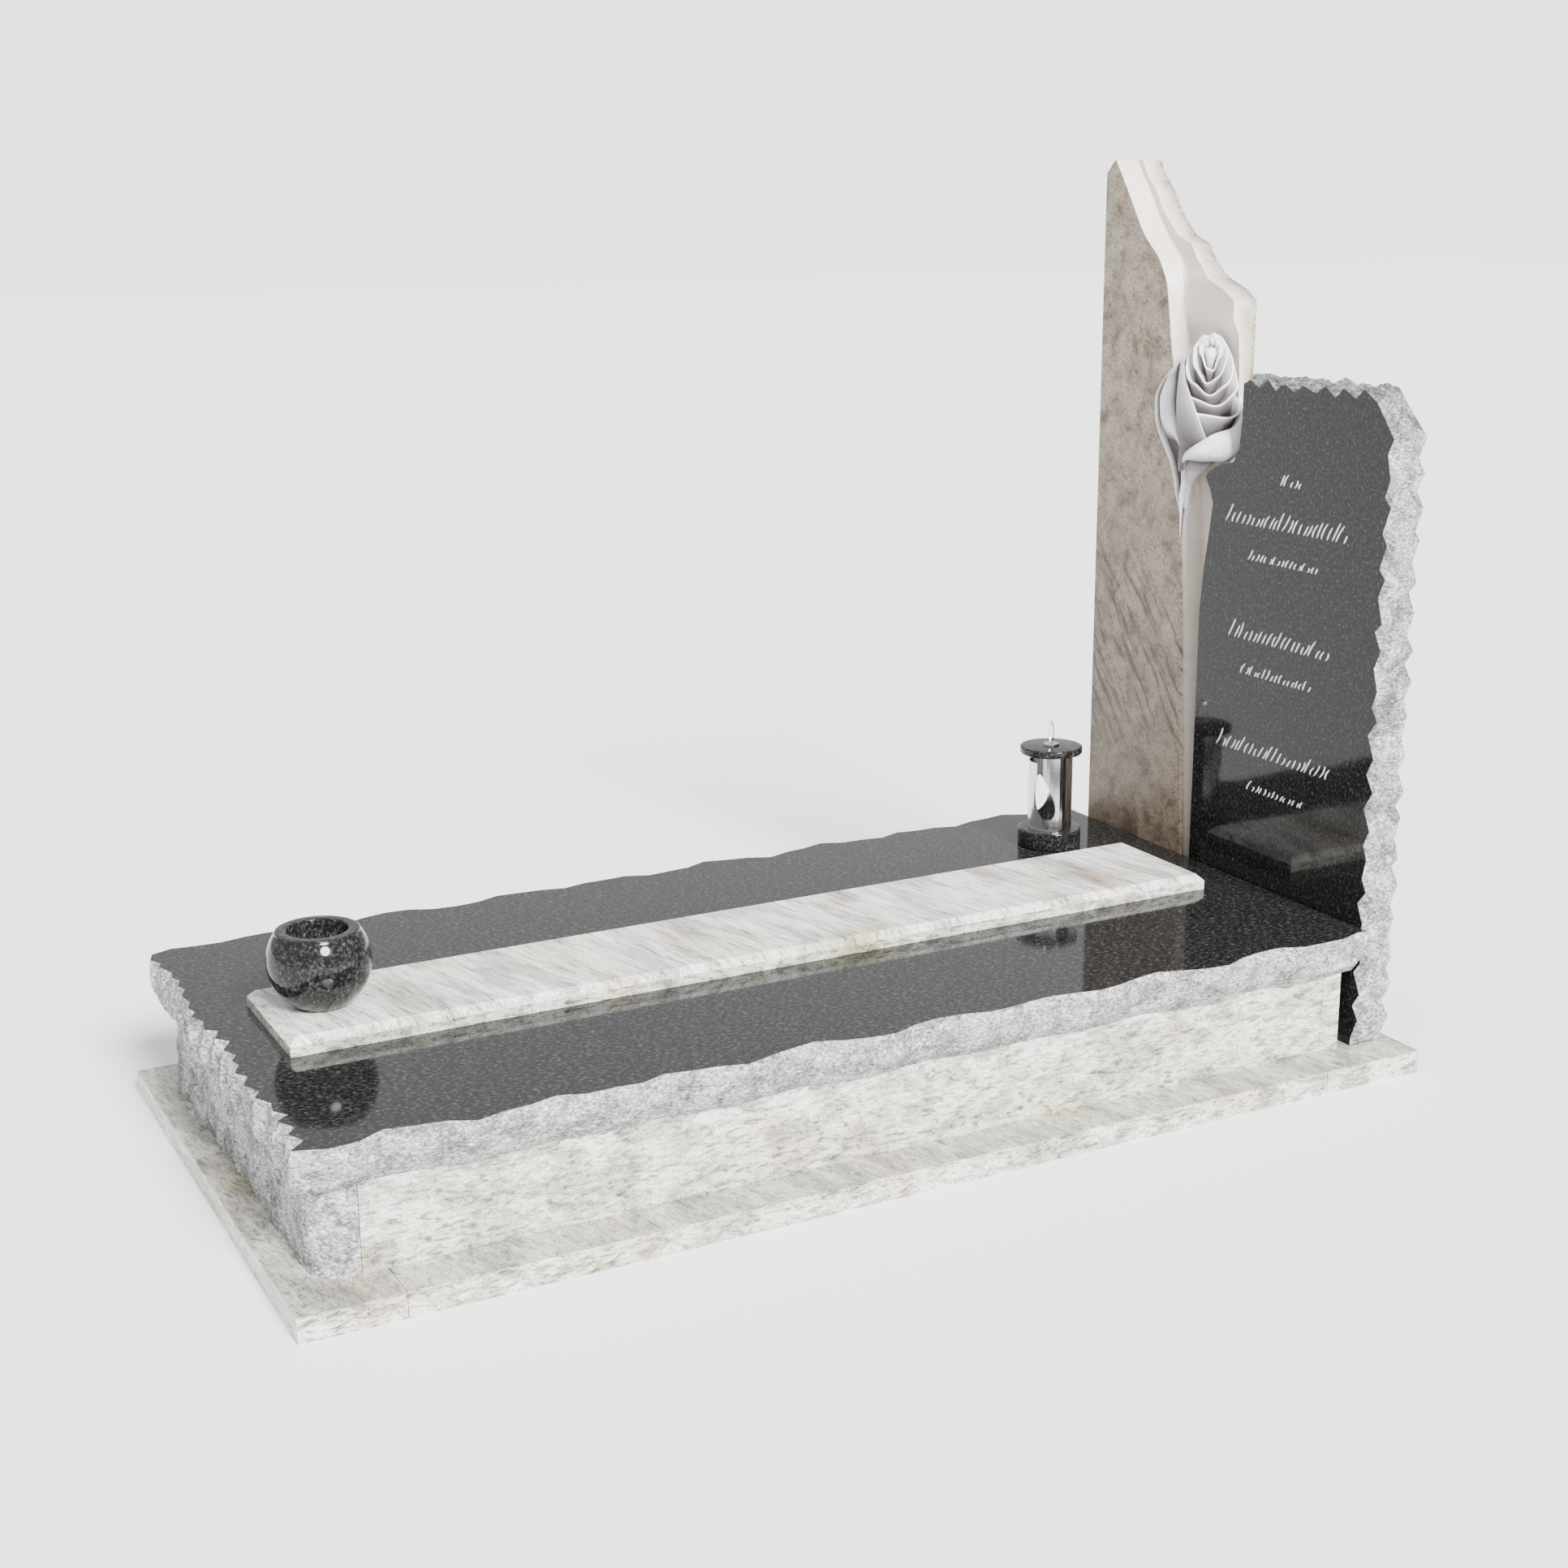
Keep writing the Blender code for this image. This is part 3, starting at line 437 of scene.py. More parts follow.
def white_granite():
    """White granite, sawn and polished: a satin gloss over a lively grain.

    Grey-green dashes 15 to 30 mm long and 4 to 6 mm thick lie level on
    upright faces. On flat ones, thin streaks run across the runner and
    shorter ones across the surround. Wider grey bands and faint pink and
    straw patches a hand wide change its tone, and quartz grains of 2 to 3 mm
    show over all.
    """
    made, tree, place = new_material("white_granite_polished", 0.22, ior=1.45)
    own, flat = colours(), facing_up(tree)
    slant = {"Rotation": (0, 0, math.radians(-12))}
    turned = add_node(tree, "Mapping", slant, {"Vector": place})
    upright = add_node(tree, "Mapping", {"Scale": (42, 42, 135)}, {"Vector": place})
    long = add_node(tree, "Mapping", {"Scale": (13, 125, 60)}, {"Vector": turned})
    short = add_node(tree, "Mapping", {"Scale": (40, 120, 60)}, {"Vector": turned})
    height = add_node(tree, "SeparateXYZ", None, {"Vector": place}).outputs["Z"]
    low = add_node(tree, "Math", {"operation": "LESS_THAN", 1: 0.1}, {0: height})
    level = add_node(tree, "Mix", {"data_type": "VECTOR"},
                     {"Factor": low, "A": long, "B": short})
    vector = add_node(tree, "Mix", {"data_type": "VECTOR"},
                      {"Factor": flat, "A": upright, "B": level})
    streak = add_node(tree, "TexNoise",
                      {"Scale": 1.0, "Detail": 5.0, "Roughness": 0.68, "Distortion": 0.8},
                      {"Vector": vector})
    dashes = add_node(tree, "ValToRGB", None, {"Fac": streak}, (
        (0.32, own.white_dash), (0.43, "#9FA198"), (0.50, "#C9C9C0"), (0.60, own.white_ground)))
    streaks = add_node(tree, "ValToRGB", None, {"Fac": streak}, (
        (0.34, "#8C8E8A"), (0.46, "#D0D0CB"), (0.58, "#F4F4EE")))
    colour = add_node(tree, "Mix", MIX, {"Factor": flat, "A": dashes, "B": streaks})
    # Tops of the low slabs are coloured darker
    darker_low_tops = add_node(tree, "Math", {"operation": "MULTIPLY"}, {0: flat, 1: low})
    colour = add_node(tree, "Mix", {**MULTIPLY, "B": linear("#D0D0CC")},
                      {"Factor": darker_low_tops, "A": colour})
    wide = add_node(tree, "Mapping", {"Scale": (5, 16, 24)}, {"Vector": turned})
    other = add_node(tree, "Mapping", {"Rotation": (0.4, 0.9, 0.2)}, {"Vector": place})
    return coloured(made, layered(tree, (
        (wide, (1.0, 3.0), ((0.38, "#A3A5A2"), (0.56, WHITE)), MULTIPLY, 0.6),
        (place, (7.0, 3.0), ((0.54, WHITE), (0.72, "#EEDAD3")), MULTIPLY, 1.0),
        (other, (6.0, 3.0), ((0.54, WHITE), (0.74, "#EFE9CF")), MULTIPLY, 1.0),
        (place, (330.0, 3.0), ((0.36, "#80817B"), (0.48, WHITE)), MULTIPLY, 0.6)), colour))


def dark_granite():
    """Near-black granite, polished to a mirror: clear reflections.

    Light feldspar shows as flecks 3 to 5 mm long on charcoal, a little
    longer along the slab on flat faces and upright on standing ones.
    """
    made, tree, place = new_material("dark_granite_polished", 0.07, ior=1.33)
    own, flat = colours(), facing_up(tree)
    lying = add_node(tree, "Mapping", {"Scale": (190, 125, 190)}, {"Vector": place})
    standing = add_node(tree, "Mapping", {"Scale": (190, 190, 165)}, {"Vector": place})
    vector = add_node(tree, "Mix", {"data_type": "VECTOR"},
                      {"Factor": flat, "A": standing, "B": lying})
    ground = ((0.30, own.dark_ground), (0.48, "#151515"), (0.58, "#2C2C2C"),
              (0.72, "#505050"))
    flecks = ((0.65, "#000000"), (0.78, own.dark_fleck))
    return coloured(made, layered(tree, (
        (vector, (1.0, 4.0, 0.6, 0.4), ground),
        (vector, (1.7, 2.0, 0.5, 0.2), flecks, ADD, 0.8))))


def pitched_granite():
    """The same dark granite where it is broken, not sawn: pale grey and matt.

    Crushed crystals scatter the light. Pale and dark grains 3 to 6 mm across
    mix on it, a little flattened, under clouds 4 cm wide. Faces that look
    up are coloured darker.
    """
    made, tree, place = new_material("dark_granite_pitched", 0.75)
    own = colours()
    flattened = add_node(tree, "Mapping", {"Scale": (150, 150, 260)}, {"Vector": place})
    grain = add_node(tree, "TexNoise",
                     {"Scale": 1.0, "Detail": 4.0, "Roughness": 0.74, "Distortion": 0.5},
                     {"Vector": flattened})
    colour = add_node(tree, "ValToRGB", None, {"Fac": grain}, (
        (0.34, own.pitched_dark), (0.44, "#828282"), (0.52, "#A6A6A6"),
        (0.62, own.pitched_pale)))
    clouds = ((0.36, "#8C8C8C"), (0.60, WHITE))
    colour = layered(tree, ((place, (24.0, 4.0, 0.65, 0.6), clouds, MULTIPLY, 0.75),), colour)
    # Darker colour on faces that look up, by their normal
    facing = add_node(tree, "TexCoord").outputs["Normal"]
    parts = add_node(tree, "SeparateXYZ", None, {"Vector": facing})
    crest = add_node(tree, "MapRange", {"From Min": 0.2, "From Max": 0.9},
                     {"Value": parts.outputs["Z"]})
    colour = add_node(tree, "Mix", {**MULTIPLY, "B": linear("#8E8E8E")},
                      {"Factor": crest, "A": colour})
    rough = add_node(tree, "Bump", {"Strength": 0.7, "Distance": 0.002}, {"Height": grain})
    tree.links.new(rough.outputs[0], tree.nodes["Principled BSDF"].inputs["Normal"])
    return coloured(made, colour)


def beige_granite():
    """Beige-pink granite, honed: a soft sheen.

    Brown mica grains 3 to 6 mm across and rusty clouds lie on a warm grey
    ground that darkens downwards. Dark purplish streaks slant across its lower
    half. The cove beside the arris, which the attribute named hollow marks, is
    painted pale as painted light, as if lit on the side that faces the light.
    """
    made, tree, place = new_material("beige_granite_honed", 0.42)
    own = colours()
    other = add_node(tree, "Mapping", {"Rotation": (0.5, 0.2, 0.9)}, {"Vector": place})
    ground = ((0.30, own.beige_dark), (0.46, "#908477"), (0.58, "#A3988B"),
              (0.74, own.beige_pale))
    rust = ((0.53, WHITE), (0.68, "#CBAF8E"))
    mica = ((0.32, own.mica), (0.41, "#CDC3B9"), (0.49, WHITE))
    colour = layered(tree, (
        (place, (26.0, 4.0, 0.6, 0.5), ground),
        (other, (34.0, 3.0, 0.62, 0.3), rust, MULTIPLY, 0.8),
        (place, (190.0, 3.0, 0.62, 0.3), mica, MULTIPLY, 0.8)))
    leaning = add_node(tree, "Mapping", {"Rotation": (0, math.radians(38), 0)},
                       {"Vector": place})
    drawn = add_node(tree, "Mapping", {"Scale": (70, 20, 9)}, {"Vector": leaning})
    dark = layered(tree, (
        (drawn, (1.0, 4.0, 0.6, 0.5), ((0.37, "#62525A"), (0.50, WHITE))),))
    height = add_node(tree, "SeparateXYZ", None, {"Vector": place}).outputs["Z"]
    belt = add_node(tree, "ValToRGB", None, {"Fac": height}, (
        (0.36, "#000000"), (0.54, "#E8E8E8"), (0.72, "#E8E8E8"), (0.90, "#000000")))
    colour = add_node(tree, "Mix", MULTIPLY, {"Factor": belt, "A": colour, "B": dark})
    foot = add_node(tree, "MapRange", {"From Min": 1.25, "From Max": 0.45},
                    {"Value": height})
    colour = add_node(tree, "Mix", {**MULTIPLY, "B": linear("#DAD3C7")},
                      {"Factor": foot, "A": colour})
    # Painted light: the cove is mixed towards a pale peach, as if lit where it faces the light
    painted_light_cove = add_node(tree, "Attribute", {"attribute_name": "hollow"}).outputs["Fac"]
    share = add_node(tree, "Math", {"operation": "MULTIPLY", 1: 0.66}, {0: painted_light_cove})
    colour = add_node(tree, "Mix", {**MIX, "B": linear("#FAEEE4")},
                      {"Factor": share, "A": colour})
    return coloured(made, colour)


def carved_granite_painted_light_and_shade():
    """The beige granite where it is carved, matt, as a lit copy of it.

    Painted light makes the ridges almost white, and painted shade gives the
    hollows a lavender grey. The attribute named hollow says how deep a place
    lies, and so how much painted shade it gets.
    """
    made, tree, place = new_material("beige_granite_carved_painted_light_and_shade", 0.45)
    own = colours()
    # Painted shade by the hollow attribute, from the ridge colour's painted light to the hollow
    # colour
    depth = add_node(tree, "Attribute", {"attribute_name": "hollow"}).outputs["Fac"]
    colour = add_node(tree, "Mix", {**MIX, "A": own.ridge, "B": own.hollow},
                      {"Factor": depth})
    return coloured(made, layered(tree, (
        (place, (30.0, 4.0), ((0.32, "#E8E4E5"), (0.62, WHITE)), MULTIPLY, 1.0),
        (place, (260.0, 4.0), ((0.32, "#B9ADA8"), (0.44, WHITE)), MULTIPLY, 0.45)), colour))


def polished_steel():
    """Stainless steel sheet, rolled and polished: a mirror with faint rings."""
    made, tree, place = new_material("stainless_steel_polished", 0.14, 1.0)
    drawn = add_node(tree, "Mapping", {"Scale": (3, 3, 900)}, {"Vector": place})
    return coloured(made, layered(tree, (
        (drawn, (1.0, 2.0), ((0.3, "#C9C9C9"), (0.7, colours().steel))),)))


def stone_paint():
    """White stone paint in shallow cuts: matt, a little uneven."""
    made, tree, place = new_material("white_stone_paint", 0.6)
    return coloured(made, layered(tree, (
        (place, (300.0, 2.0), ((0.3, "#E6E6E6"), (0.7, colours().paint))),)))


MADE = {}


def finish(make):
    """The material that a function makes, made once."""
    if make not in MADE:
        MADE[make] = make()
    return MADE[make]


# Slabs

class MONUMENT_OT_slabs(bpy.types.Operator):
    """White granite for the plain slabs, which keep their CAD shape"""
    bl_idname = "monument.slabs"
    bl_label = "Plain slabs"

    def execute(self, context):
        for node in ("surround_slab_foot", "surround_slab_head", "surround_slab_near",
                     "surround_slab_far", "kerb_near_wall", "kerb_far_wall",
                     "kerb_head_wall", "runner_slab"):
            NODES[node].material_slots[0].material = finish(white_granite)
        return {"FINISHED"}


# Cover slab and foot block

def cover_rings():
    """Rings of the cover from its underside to its top.

    Sides swing in and out as sums of sines, the foot is chipped, and both
    lean inwards towards the underside. The head is sawn straight.
    """
    half = COVER_HALF_WIDTH
    rings = []
    for share in (0.0, 0.22, 0.5, 0.8, 1.0):
        under = 1 - share
        side_lean = 0.006 * math.sin(math.pi * under) - COVER_FACE_LEAN * under ** 1.3
        foot_lean = 0.008 * math.sin(math.pi * under) - 0.006 * under
        level = COVER_BOTTOM + (COVER_TOP - COVER_BOTTOM) * share
        depth = 0.017 * (1 - 0.55 * under)
        sides = []
        for side, phase in ((1, 0.035), (-1, 0.11)):
            x = side * (half + side_lean)
            ends = [(x, COVER_FOOT + 0.012, level), (x, COVER_HEAD, level)]
            if side < 0:
                ends.reverse()
            sides.append(wavy_line(*ends, (side, 0, 0), 44, depth, phase))
        near, far = sides
        x = half + side_lean - 0.004
        corners = np.array([(x, COVER_HEAD, level), (-x, COVER_HEAD, level)])
        foot_y = COVER_FOOT - foot_lean
        count = chips_in(2 * half)
        foot = chipped_line((far[-1][0], foot_y, level), (near[0][0], foot_y, level),
                            (0, -1, 0), count, CHIP_DEPTH * np.linspace(0.45, 1.15, count), 5)
        foot[:, 1] += 0.006 * np.sin(foot[:, 0] * math.tau / 0.31 + 1.0) * share
        rings.append(np.concatenate((near, corners, far, foot)))
    return np.array(rings)


def roughened(rings, outward, weight, seed):
    """Rings moved along their outward directions by broken-stone depths."""
    depth = sizes().relief * weight * broken_stone(rings, seed)
    return rings + outward * depth[..., None]


class MONUMENT_OT_cover(bpy.types.Operator):
    """Cover slab: polished top, pitched edges, sawn head edge"""
    bl_idname = "monument.cover"
    bl_label = "Cover slab"

    def execute(self, context):
        rings = subdivided(cover_rings(), 7, 7)
        # The edges face away from a middle line that reaches COVER_SPINE each way
        middle = np.clip(rings[..., 1:2], -COVER_SPINE, COVER_SPINE)
        centre = np.concatenate((0 * middle, middle, rings[..., 2:]), axis=-1)
        outward = rings - centre
        outward /= np.linalg.norm(outward, axis=-1, keepdims=True)
        share = (rings[..., 2] - COVER_BOTTOM) / (COVER_TOP - COVER_BOTTOM)
        edge = np.sqrt(np.clip(np.minimum(share, 1 - share) / 0.2, 0, 1))
        sawn = np.clip((COVER_HEAD - rings[..., 1] - 0.004) / 0.03, 0, 1)
        rings = roughened(rings, outward, edge * sawn, 21)
        item = loft_piece("cover", rings, [finish(pitched_granite), finish(dark_granite)], 32.0)
        dress(item, ["cover_slab"])
        return {"FINISHED"}


def foot_block_rings():
    """Rings across the grave, each from the block's back over its pitched face.

    The face swells by noise and turns back at the ends by the cube of the
    share of the corner.
    """
    half, back = KERB_HIGH[:2]
    x = np.linspace(-half, half, 221)[:, None]
    level = np.linspace(KERB_HIGH[2], KERB_LOW[2], 34)
    inward = np.clip((np.abs(x) - (half - KERB_CORNER)) / KERB_CORNER, 0, 1)
    flat = joined(x, KERB_FOOT, level)
    relief = 0.011 + 0.006 * lattice_noise(flat, 0.05, 31)
    relief -= 0.8 * sizes().relief * broken_stone(flat, 32)
    face = joined(x, KERB_FOOT + relief + KERB_CORNER * inward ** 3, level)
    return np.concatenate((joined(x, back, level[[-1, 0]]), face), axis=1)


class MONUMENT_OT_foot_block(bpy.types.Operator):
    """Foot wall of the kerb: a pitched face with rounded corners"""
    bl_idname = "monument.foot_block"
    bl_label = "Foot block"

    def execute(self, context):
        item = loft_piece("foot_block", foot_block_rings(), [finish(pitched_granite)], 40.0)
        dress(item, ["kerb_foot_block"])
        return {"FINISHED"}


# Headstone

NOTCH_SIDE = (
    (0.0, 0.0), (0.7, 0.0), (0.78, 0.007), (0.86, 0.02), (0.905, 0.026),
    (0.93, 0.016), (0.95, 0.002),
)
NOTCH_FLOOR = (
    (0.962, 0.012), (0.974, 0.036), (0.985, 0.079), (1.01, 0.094),
    (1.06, 0.098),
)


def headstone_rings():
    """Rings of the headstone from front to back, and where they are pitched.

    Its crest and right side are chipped lines, and its left side follows the
    stele and the notch round the rose.
    """
    left, right, base = HEADSTONE_LEFT, HEADSTONE_RIGHT, STANDING_BOTTOM
    top = base + HEADSTONE_HEIGHT
    notch_right = left + NOTCH_FLOOR[-1][1]
    rings = []
    for share in (0.0, 0.2, 0.6, 1.0):
        y = STONE_FRONT + HEADSTONE_DEPTH * share
        swell = 0.007 * math.sin(math.pi * share)
        seed = 11 + round(share * 10)
        foot = np.array([(left, y, base), (right - 0.008, y, base)])
        edge = right + swell
        side = chipped_line((edge, y, base), (edge, y, top - HEADSTONE_CORNER), (1, 0, 0),
                            chips_in(HEADSTONE_HEIGHT, 1.2 * CHIP_SPACING), CHIP_DEPTH, seed)
        crest = chipped_line((right - HEADSTONE_CORNER * 0.6, y, top + swell),
                             (notch_right, y, top + swell), (0, 0, 1),
                             chips_in(right - notch_right), CHIP_DEPTH, seed + 3)
        notch = [(notch_right, y, top - 0.002)]
        notch += [(left + reach, y, base + height)
                  for height, reach in reversed(NOTCH_SIDE + NOTCH_FLOOR) if height > 0]
        rings.append(np.concatenate((foot, side, crest, np.array(notch))))
    pitched = np.concatenate((np.zeros(2), np.ones(len(side) + len(crest)),
                              np.zeros(len(notch))))
    return np.array(rings), pitched


class MONUMENT_OT_headstone(bpy.types.Operator):
    """Dark headstone: polished faces, pitched crest and right side"""
    bl_idname = "monument.headstone"
    bl_label = "Headstone"

    def execute(self, context):
        coarse, pitched = headstone_rings()
        steps = 9
        rings = subdivided(coarse, steps, steps)
        t = np.arange(steps) / steps
        after = np.roll(pitched, -1)
        weight = (pitched[:, None] * (1 - t) + after[:, None] * t).reshape(-1)
        depth = (rings[..., 1] - STONE_FRONT) / HEADSTONE_DEPTH
        edge = np.sqrt(np.clip(np.minimum(depth, 1 - depth) / 0.15, 0, 1))
        # The edges face away from the middle, more to the sides than up
        away = (rings - np.array(HEADSTONE_MIDDLE)) * np.array([1.0, 0.0, 0.4])
        away /= np.linalg.norm(away, axis=-1, keepdims=True)
        rings = roughened(rings, away, edge * weight, 51)
        item = loft_piece("headstone_stone", rings,
                          [finish(pitched_granite), finish(dark_granite)], 32.0,
                          np.where(weight > 0.01, 0, 1))
        dress(item, ["headstone"])
        return {"FINISHED"}


STROKE_ROWS = (
    # middle x, foot z, length, height, strokes
    (0.189, 0.997, 0.060, 0.022, 5),
    (0.180, 0.918, 0.320, 0.032, 25),
    (0.176, 0.856, 0.190, 0.019, 17),
    (0.176, 0.710, 0.270, 0.032, 21),
    (0.174, 0.647, 0.190, 0.019, 17),
    (0.174, 0.501, 0.310, 0.032, 24),
    (0.188, 0.434, 0.155, 0.019, 14),
)
STROKE_REACH = 0.0004


def stroke_rings(place, height, width, lean, bend):
    """Slanting stroke: an outline on both sides of a bent middle line.

    The middle line leans by lean and bows by bend times sin(pi t). Half the
    width falls off to the ends as the square root of one minus the fourth
    power of the distance from the middle, which is one at an end.
    """
    t = np.linspace(0, 1, 12)
    half = 0.5 * width * (1 - (2 * t - 1) ** 4) ** 0.5
    x = place[0] + lean * height * (t - 0.5) + bend * np.sin(math.pi * t)
    z = place[1] + height * t
    x = np.concatenate((x + half, (x - half)[-2:0:-1]))
    z = np.concatenate((z, z[-2:0:-1]))
    reach = np.array([[STROKE_REACH], [-STROKE_REACH]])
    return joined(x, STONE_FRONT + reach, z)


class MONUMENT_OT_strokes(bpy.types.Operator):
    """Rows of slanting strokes on the headstone, which aren't letters"""
    bl_idname = "monument.strokes"
    bl_label = "Stroke rows"

    def execute(self, context):
        pick = random.Random(7)
        width = sizes().stroke
        for number, (x, z, length, height, count) in enumerate(STROKE_ROWS):
            points, faces = [], []
            for i in range(count):
                share = (i + 0.5) / count - 0.5
                tall = height * pick.uniform(0.45, 0.8)
                if i == 0 or pick.random() < 0.15:
                    tall = height * pick.uniform(0.9, 1.1)
                place = (x + share * length + pick.uniform(-0.002, 0.002), z)
                rings = stroke_rings(place, tall, width, pick.uniform(0.45, 0.7),
                                     pick.uniform(-0.003, 0.003))
                size = rings.shape[1]
                start = 2 * size * i
                points.append(rings.reshape(-1, 3))
                faces += (grid_faces(2, size) + start).tolist()
                faces += [list(range(start, start + size)),
                          list(range(start + size, start + 2 * size))]
            item = add_piece("stroke_row_%d" % number, np.concatenate(points), faces,
                             [finish(stone_paint)], None, 40.0)
            dress(item, [])
        return {"FINISHED"}


# Stele and its carving

ARRIS = (
    (0.0, 0.326), (0.23, 0.309), (0.88, 0.262), (1.02, 0.236), (1.16, 0.212),
    (1.28, 0.200), (1.33, 0.176), (1.378, 0.125), (1.43, 0.088),
    (1.472, 0.059), (1.513, 0.029),
)
BACK_LINE = (
    (0.0, 0.329), (0.96, 0.329), (1.0, 0.348), (1.265, 0.348),
    (1.284, 0.318), (1.302, 0.268), (1.333, 0.228), (1.362, 0.207),
    (1.376, 0.168), (1.417, 0.124), (1.456, 0.097), (1.486, 0.067),
    (1.513, 0.05),
)
HOLLOW_DEPTH = (
    (0.0, 0.03), (0.5, 0.045), (0.9, 0.05), (1.1, 0.055), (1.2, 0.05),
    (1.24, 0.035), (1.29, 0.035), (1.33, 0.044), (1.513, 0.044),
)
SCOOP_DEPTH = 0.009
SCOOP_HEIGHT = 1.13
SCOOP_REACH = 0.09
ARRIS_ROUND = 0.008
STELE_TIP_BEVEL = 0.025


def stele_rings():
    """Plans of the stele, from its foot to its tip, and where its cove gets painted light.

    Each plan runs along the flat front, over the arris, through the carved
    hollow beside it to the rear right edge, and back along the rear.
    """
    low = np.linspace(0, 0.85, 18)
    middle = np.linspace(0.86, 1.24, 77)
    high = np.linspace(1.244, STELE_HEIGHT - 0.0005, 150)
    height = np.concatenate((low, middle, high))
    arris = smooth_table(ARRIS, height)
    rear = np.maximum(np.interp(height, *np.array(BACK_LINE).T), arris + 0.003)
    hollow = smooth_table(HOLLOW_DEPTH, height)
    low_part = 1 - np.clip((height - 0.9) / 0.2, 0, 1)
    turn = ARRIS_ROUND * low_part + 0.0015
    scoop = SCOOP_DEPTH * np.exp(-((height - SCOOP_HEIGHT) / SCOOP_REACH) ** 2)
    left = np.maximum(0, height - (STELE_HEIGHT - STELE_TIP_BEVEL))
    wall = arris + np.minimum(0.35 * (rear - arris), 0.3 * hollow)
    flat = arris - turn - left
    zero = 0 * height
    depth = zero + STELE_DEPTH
    front = [(left, zero), (left + 0.45 * flat, zero), (left + 0.75 * flat, zero)]
    carved = [
        (left + 0.75 * flat, zero), (left + 0.9 * flat, 0.5 * scoop),
        (arris - turn, scoop), (arris - 0.3 * turn, scoop + 0.3 * turn),
        (arris, scoop + turn), (0.5 * (arris + wall), 0.6 * hollow),
        (wall, hollow * 0.97), (0.5 * (wall + rear), hollow), (rear, hollow + 0.001),
    ]
    back = [(rear, depth), (left + (rear - left) * 0.5, depth), (left, depth)]
    rounded = curve_through(np.array([np.stack(p, -1) for p in carved]), 5)
    plan = [np.stack(p, -1) for p in front[:-1]] + list(rounded)
    plan += [np.stack(p, -1) for p in back]
    plan = np.array(plan).transpose(1, 0, 2)
    rings = joined(plan[..., 0], plan[..., 1], height[:, None]) + STELE_CORNER
    first = len(front) - 1
    # Painted light on the cove, from beside the arris round to the rear corner
    painted_light_cove = np.interp(np.arange(rings.shape[1]), (first + 16, first + 20), (0.0, 1.0))
    painted_light_cove[-len(back):] = 0
    return rings, np.tile(painted_light_cove, len(height))


class MONUMENT_OT_stele(bpy.types.Operator):
    """Stele without its carving: flat front, swept arris and hollow side"""
    bl_idname = "monument.stele"
    bl_label = "Stele"

    def execute(self, context):
        rings, painted_light_cove = stele_rings()
        item = loft_piece("stele", rings, [finish(beige_granite)], 24.0, hollow=painted_light_cove)
        dress(item, ["stele_with_rose"])
        return {"FINISHED"}


ROSE_FOOT = (0.320, 0.010, 0.965)
ROSE_SQUASH = 0.86
ROSE_TURN = -38.0
ROSE_GIRTH = (
    (0.0, 0.030), (0.025, 0.050), (0.06, 0.063), (0.12, 0.069), (0.17, 0.066),
    (0.21, 0.058), (0.235, 0.049), (0.25, 0.036),
)
CALYX = (
    # height, radius, reach to the left, reach to the front
    (-0.080, 0.003, 0.041, 0.012), (-0.058, 0.0055, 0.040, 0.012),
    (-0.032, 0.009, 0.036, 0.012), (-0.014, 0.014, 0.024, 0.011),
)
# Painted shade on the calyx, which lies in the shadow under the rose's roll
CALYX_PAINTED_SHADE = 0.45
ROSE_RINGS = (
    # front share, back share, curl, lip heights from -135 to 180 degrees
    (0.96, 1.02, 0.014, (0.030, 0.002, 0.036, 0.064, 0.078, 0.118, 0.150, 0.100)),
    (0.84, 0.88, 0.006, (0.170, 0.140, 0.112, 0.099, 0.101, 0.112, 0.170, 0.195)),
    (0.75, 0.82, 0.006, (0.205, 0.160, 0.134, 0.120, 0.132, 0.160, 0.215, 0.225)),
    (0.64, 0.74, 0.005, (0.225, 0.185, 0.156, 0.139, 0.158, 0.195, 0.232, 0.236)),
    (0.50, 0.60, 0.004, (0.232, 0.212, 0.176, 0.158, 0.184, 0.214, 0.236, 0.240)),
    (0.35, 0.42, 0.002, (0.226, 0.220, 0.200, 0.178, 0.200, 0.220, 0.230, 0.232)),
)
ROLL = (0.17, 0.14, 0.28, 0.76, 1.0, 0.97, 0.52, 0.28)
ROLL_BULGE = 0.009
ROSE_BUD = (0.20, 0.20, 0.216)
POCKET_DEPTH = 0.013
DEEPEST_STEP = 0.022
TALL_PETAL_EDGES = (-165.0, -2.0)
TALL_PETAL_SHARES = (0.87, 0.95)
TALL_PETAL_LIP = (
    (0.0, 0.150), (0.25, 0.190), (0.45, 0.207), (0.58, 0.200), (0.72, 0.165), (0.85, 0.115),
    (1.0, 0.052),
)


def rose_place(points):
    """Points from the rose's own space to the monument's.

    Turned about Z so that the rose faces the viewer, squashed along Y, and
    moved to its foot on the stele.
    """
    turn = math.radians(ROSE_TURN)
    x = points[..., 0] * math.cos(turn) - points[..., 1] * math.sin(turn)
    y = points[..., 0] * math.sin(turn) + points[..., 1] * math.cos(turn)
    place = joined(x, y * ROSE_SQUASH, points[..., 2])
    return place + np.array(ROSE_FOOT) + STELE_CORNER


def share_at(front, back, angle):
    """Share of the girth at an angle: from front to back and round by a cosine."""
    return front + (back - front) * 0.5 * (1 - np.cos(angle - 0.3))


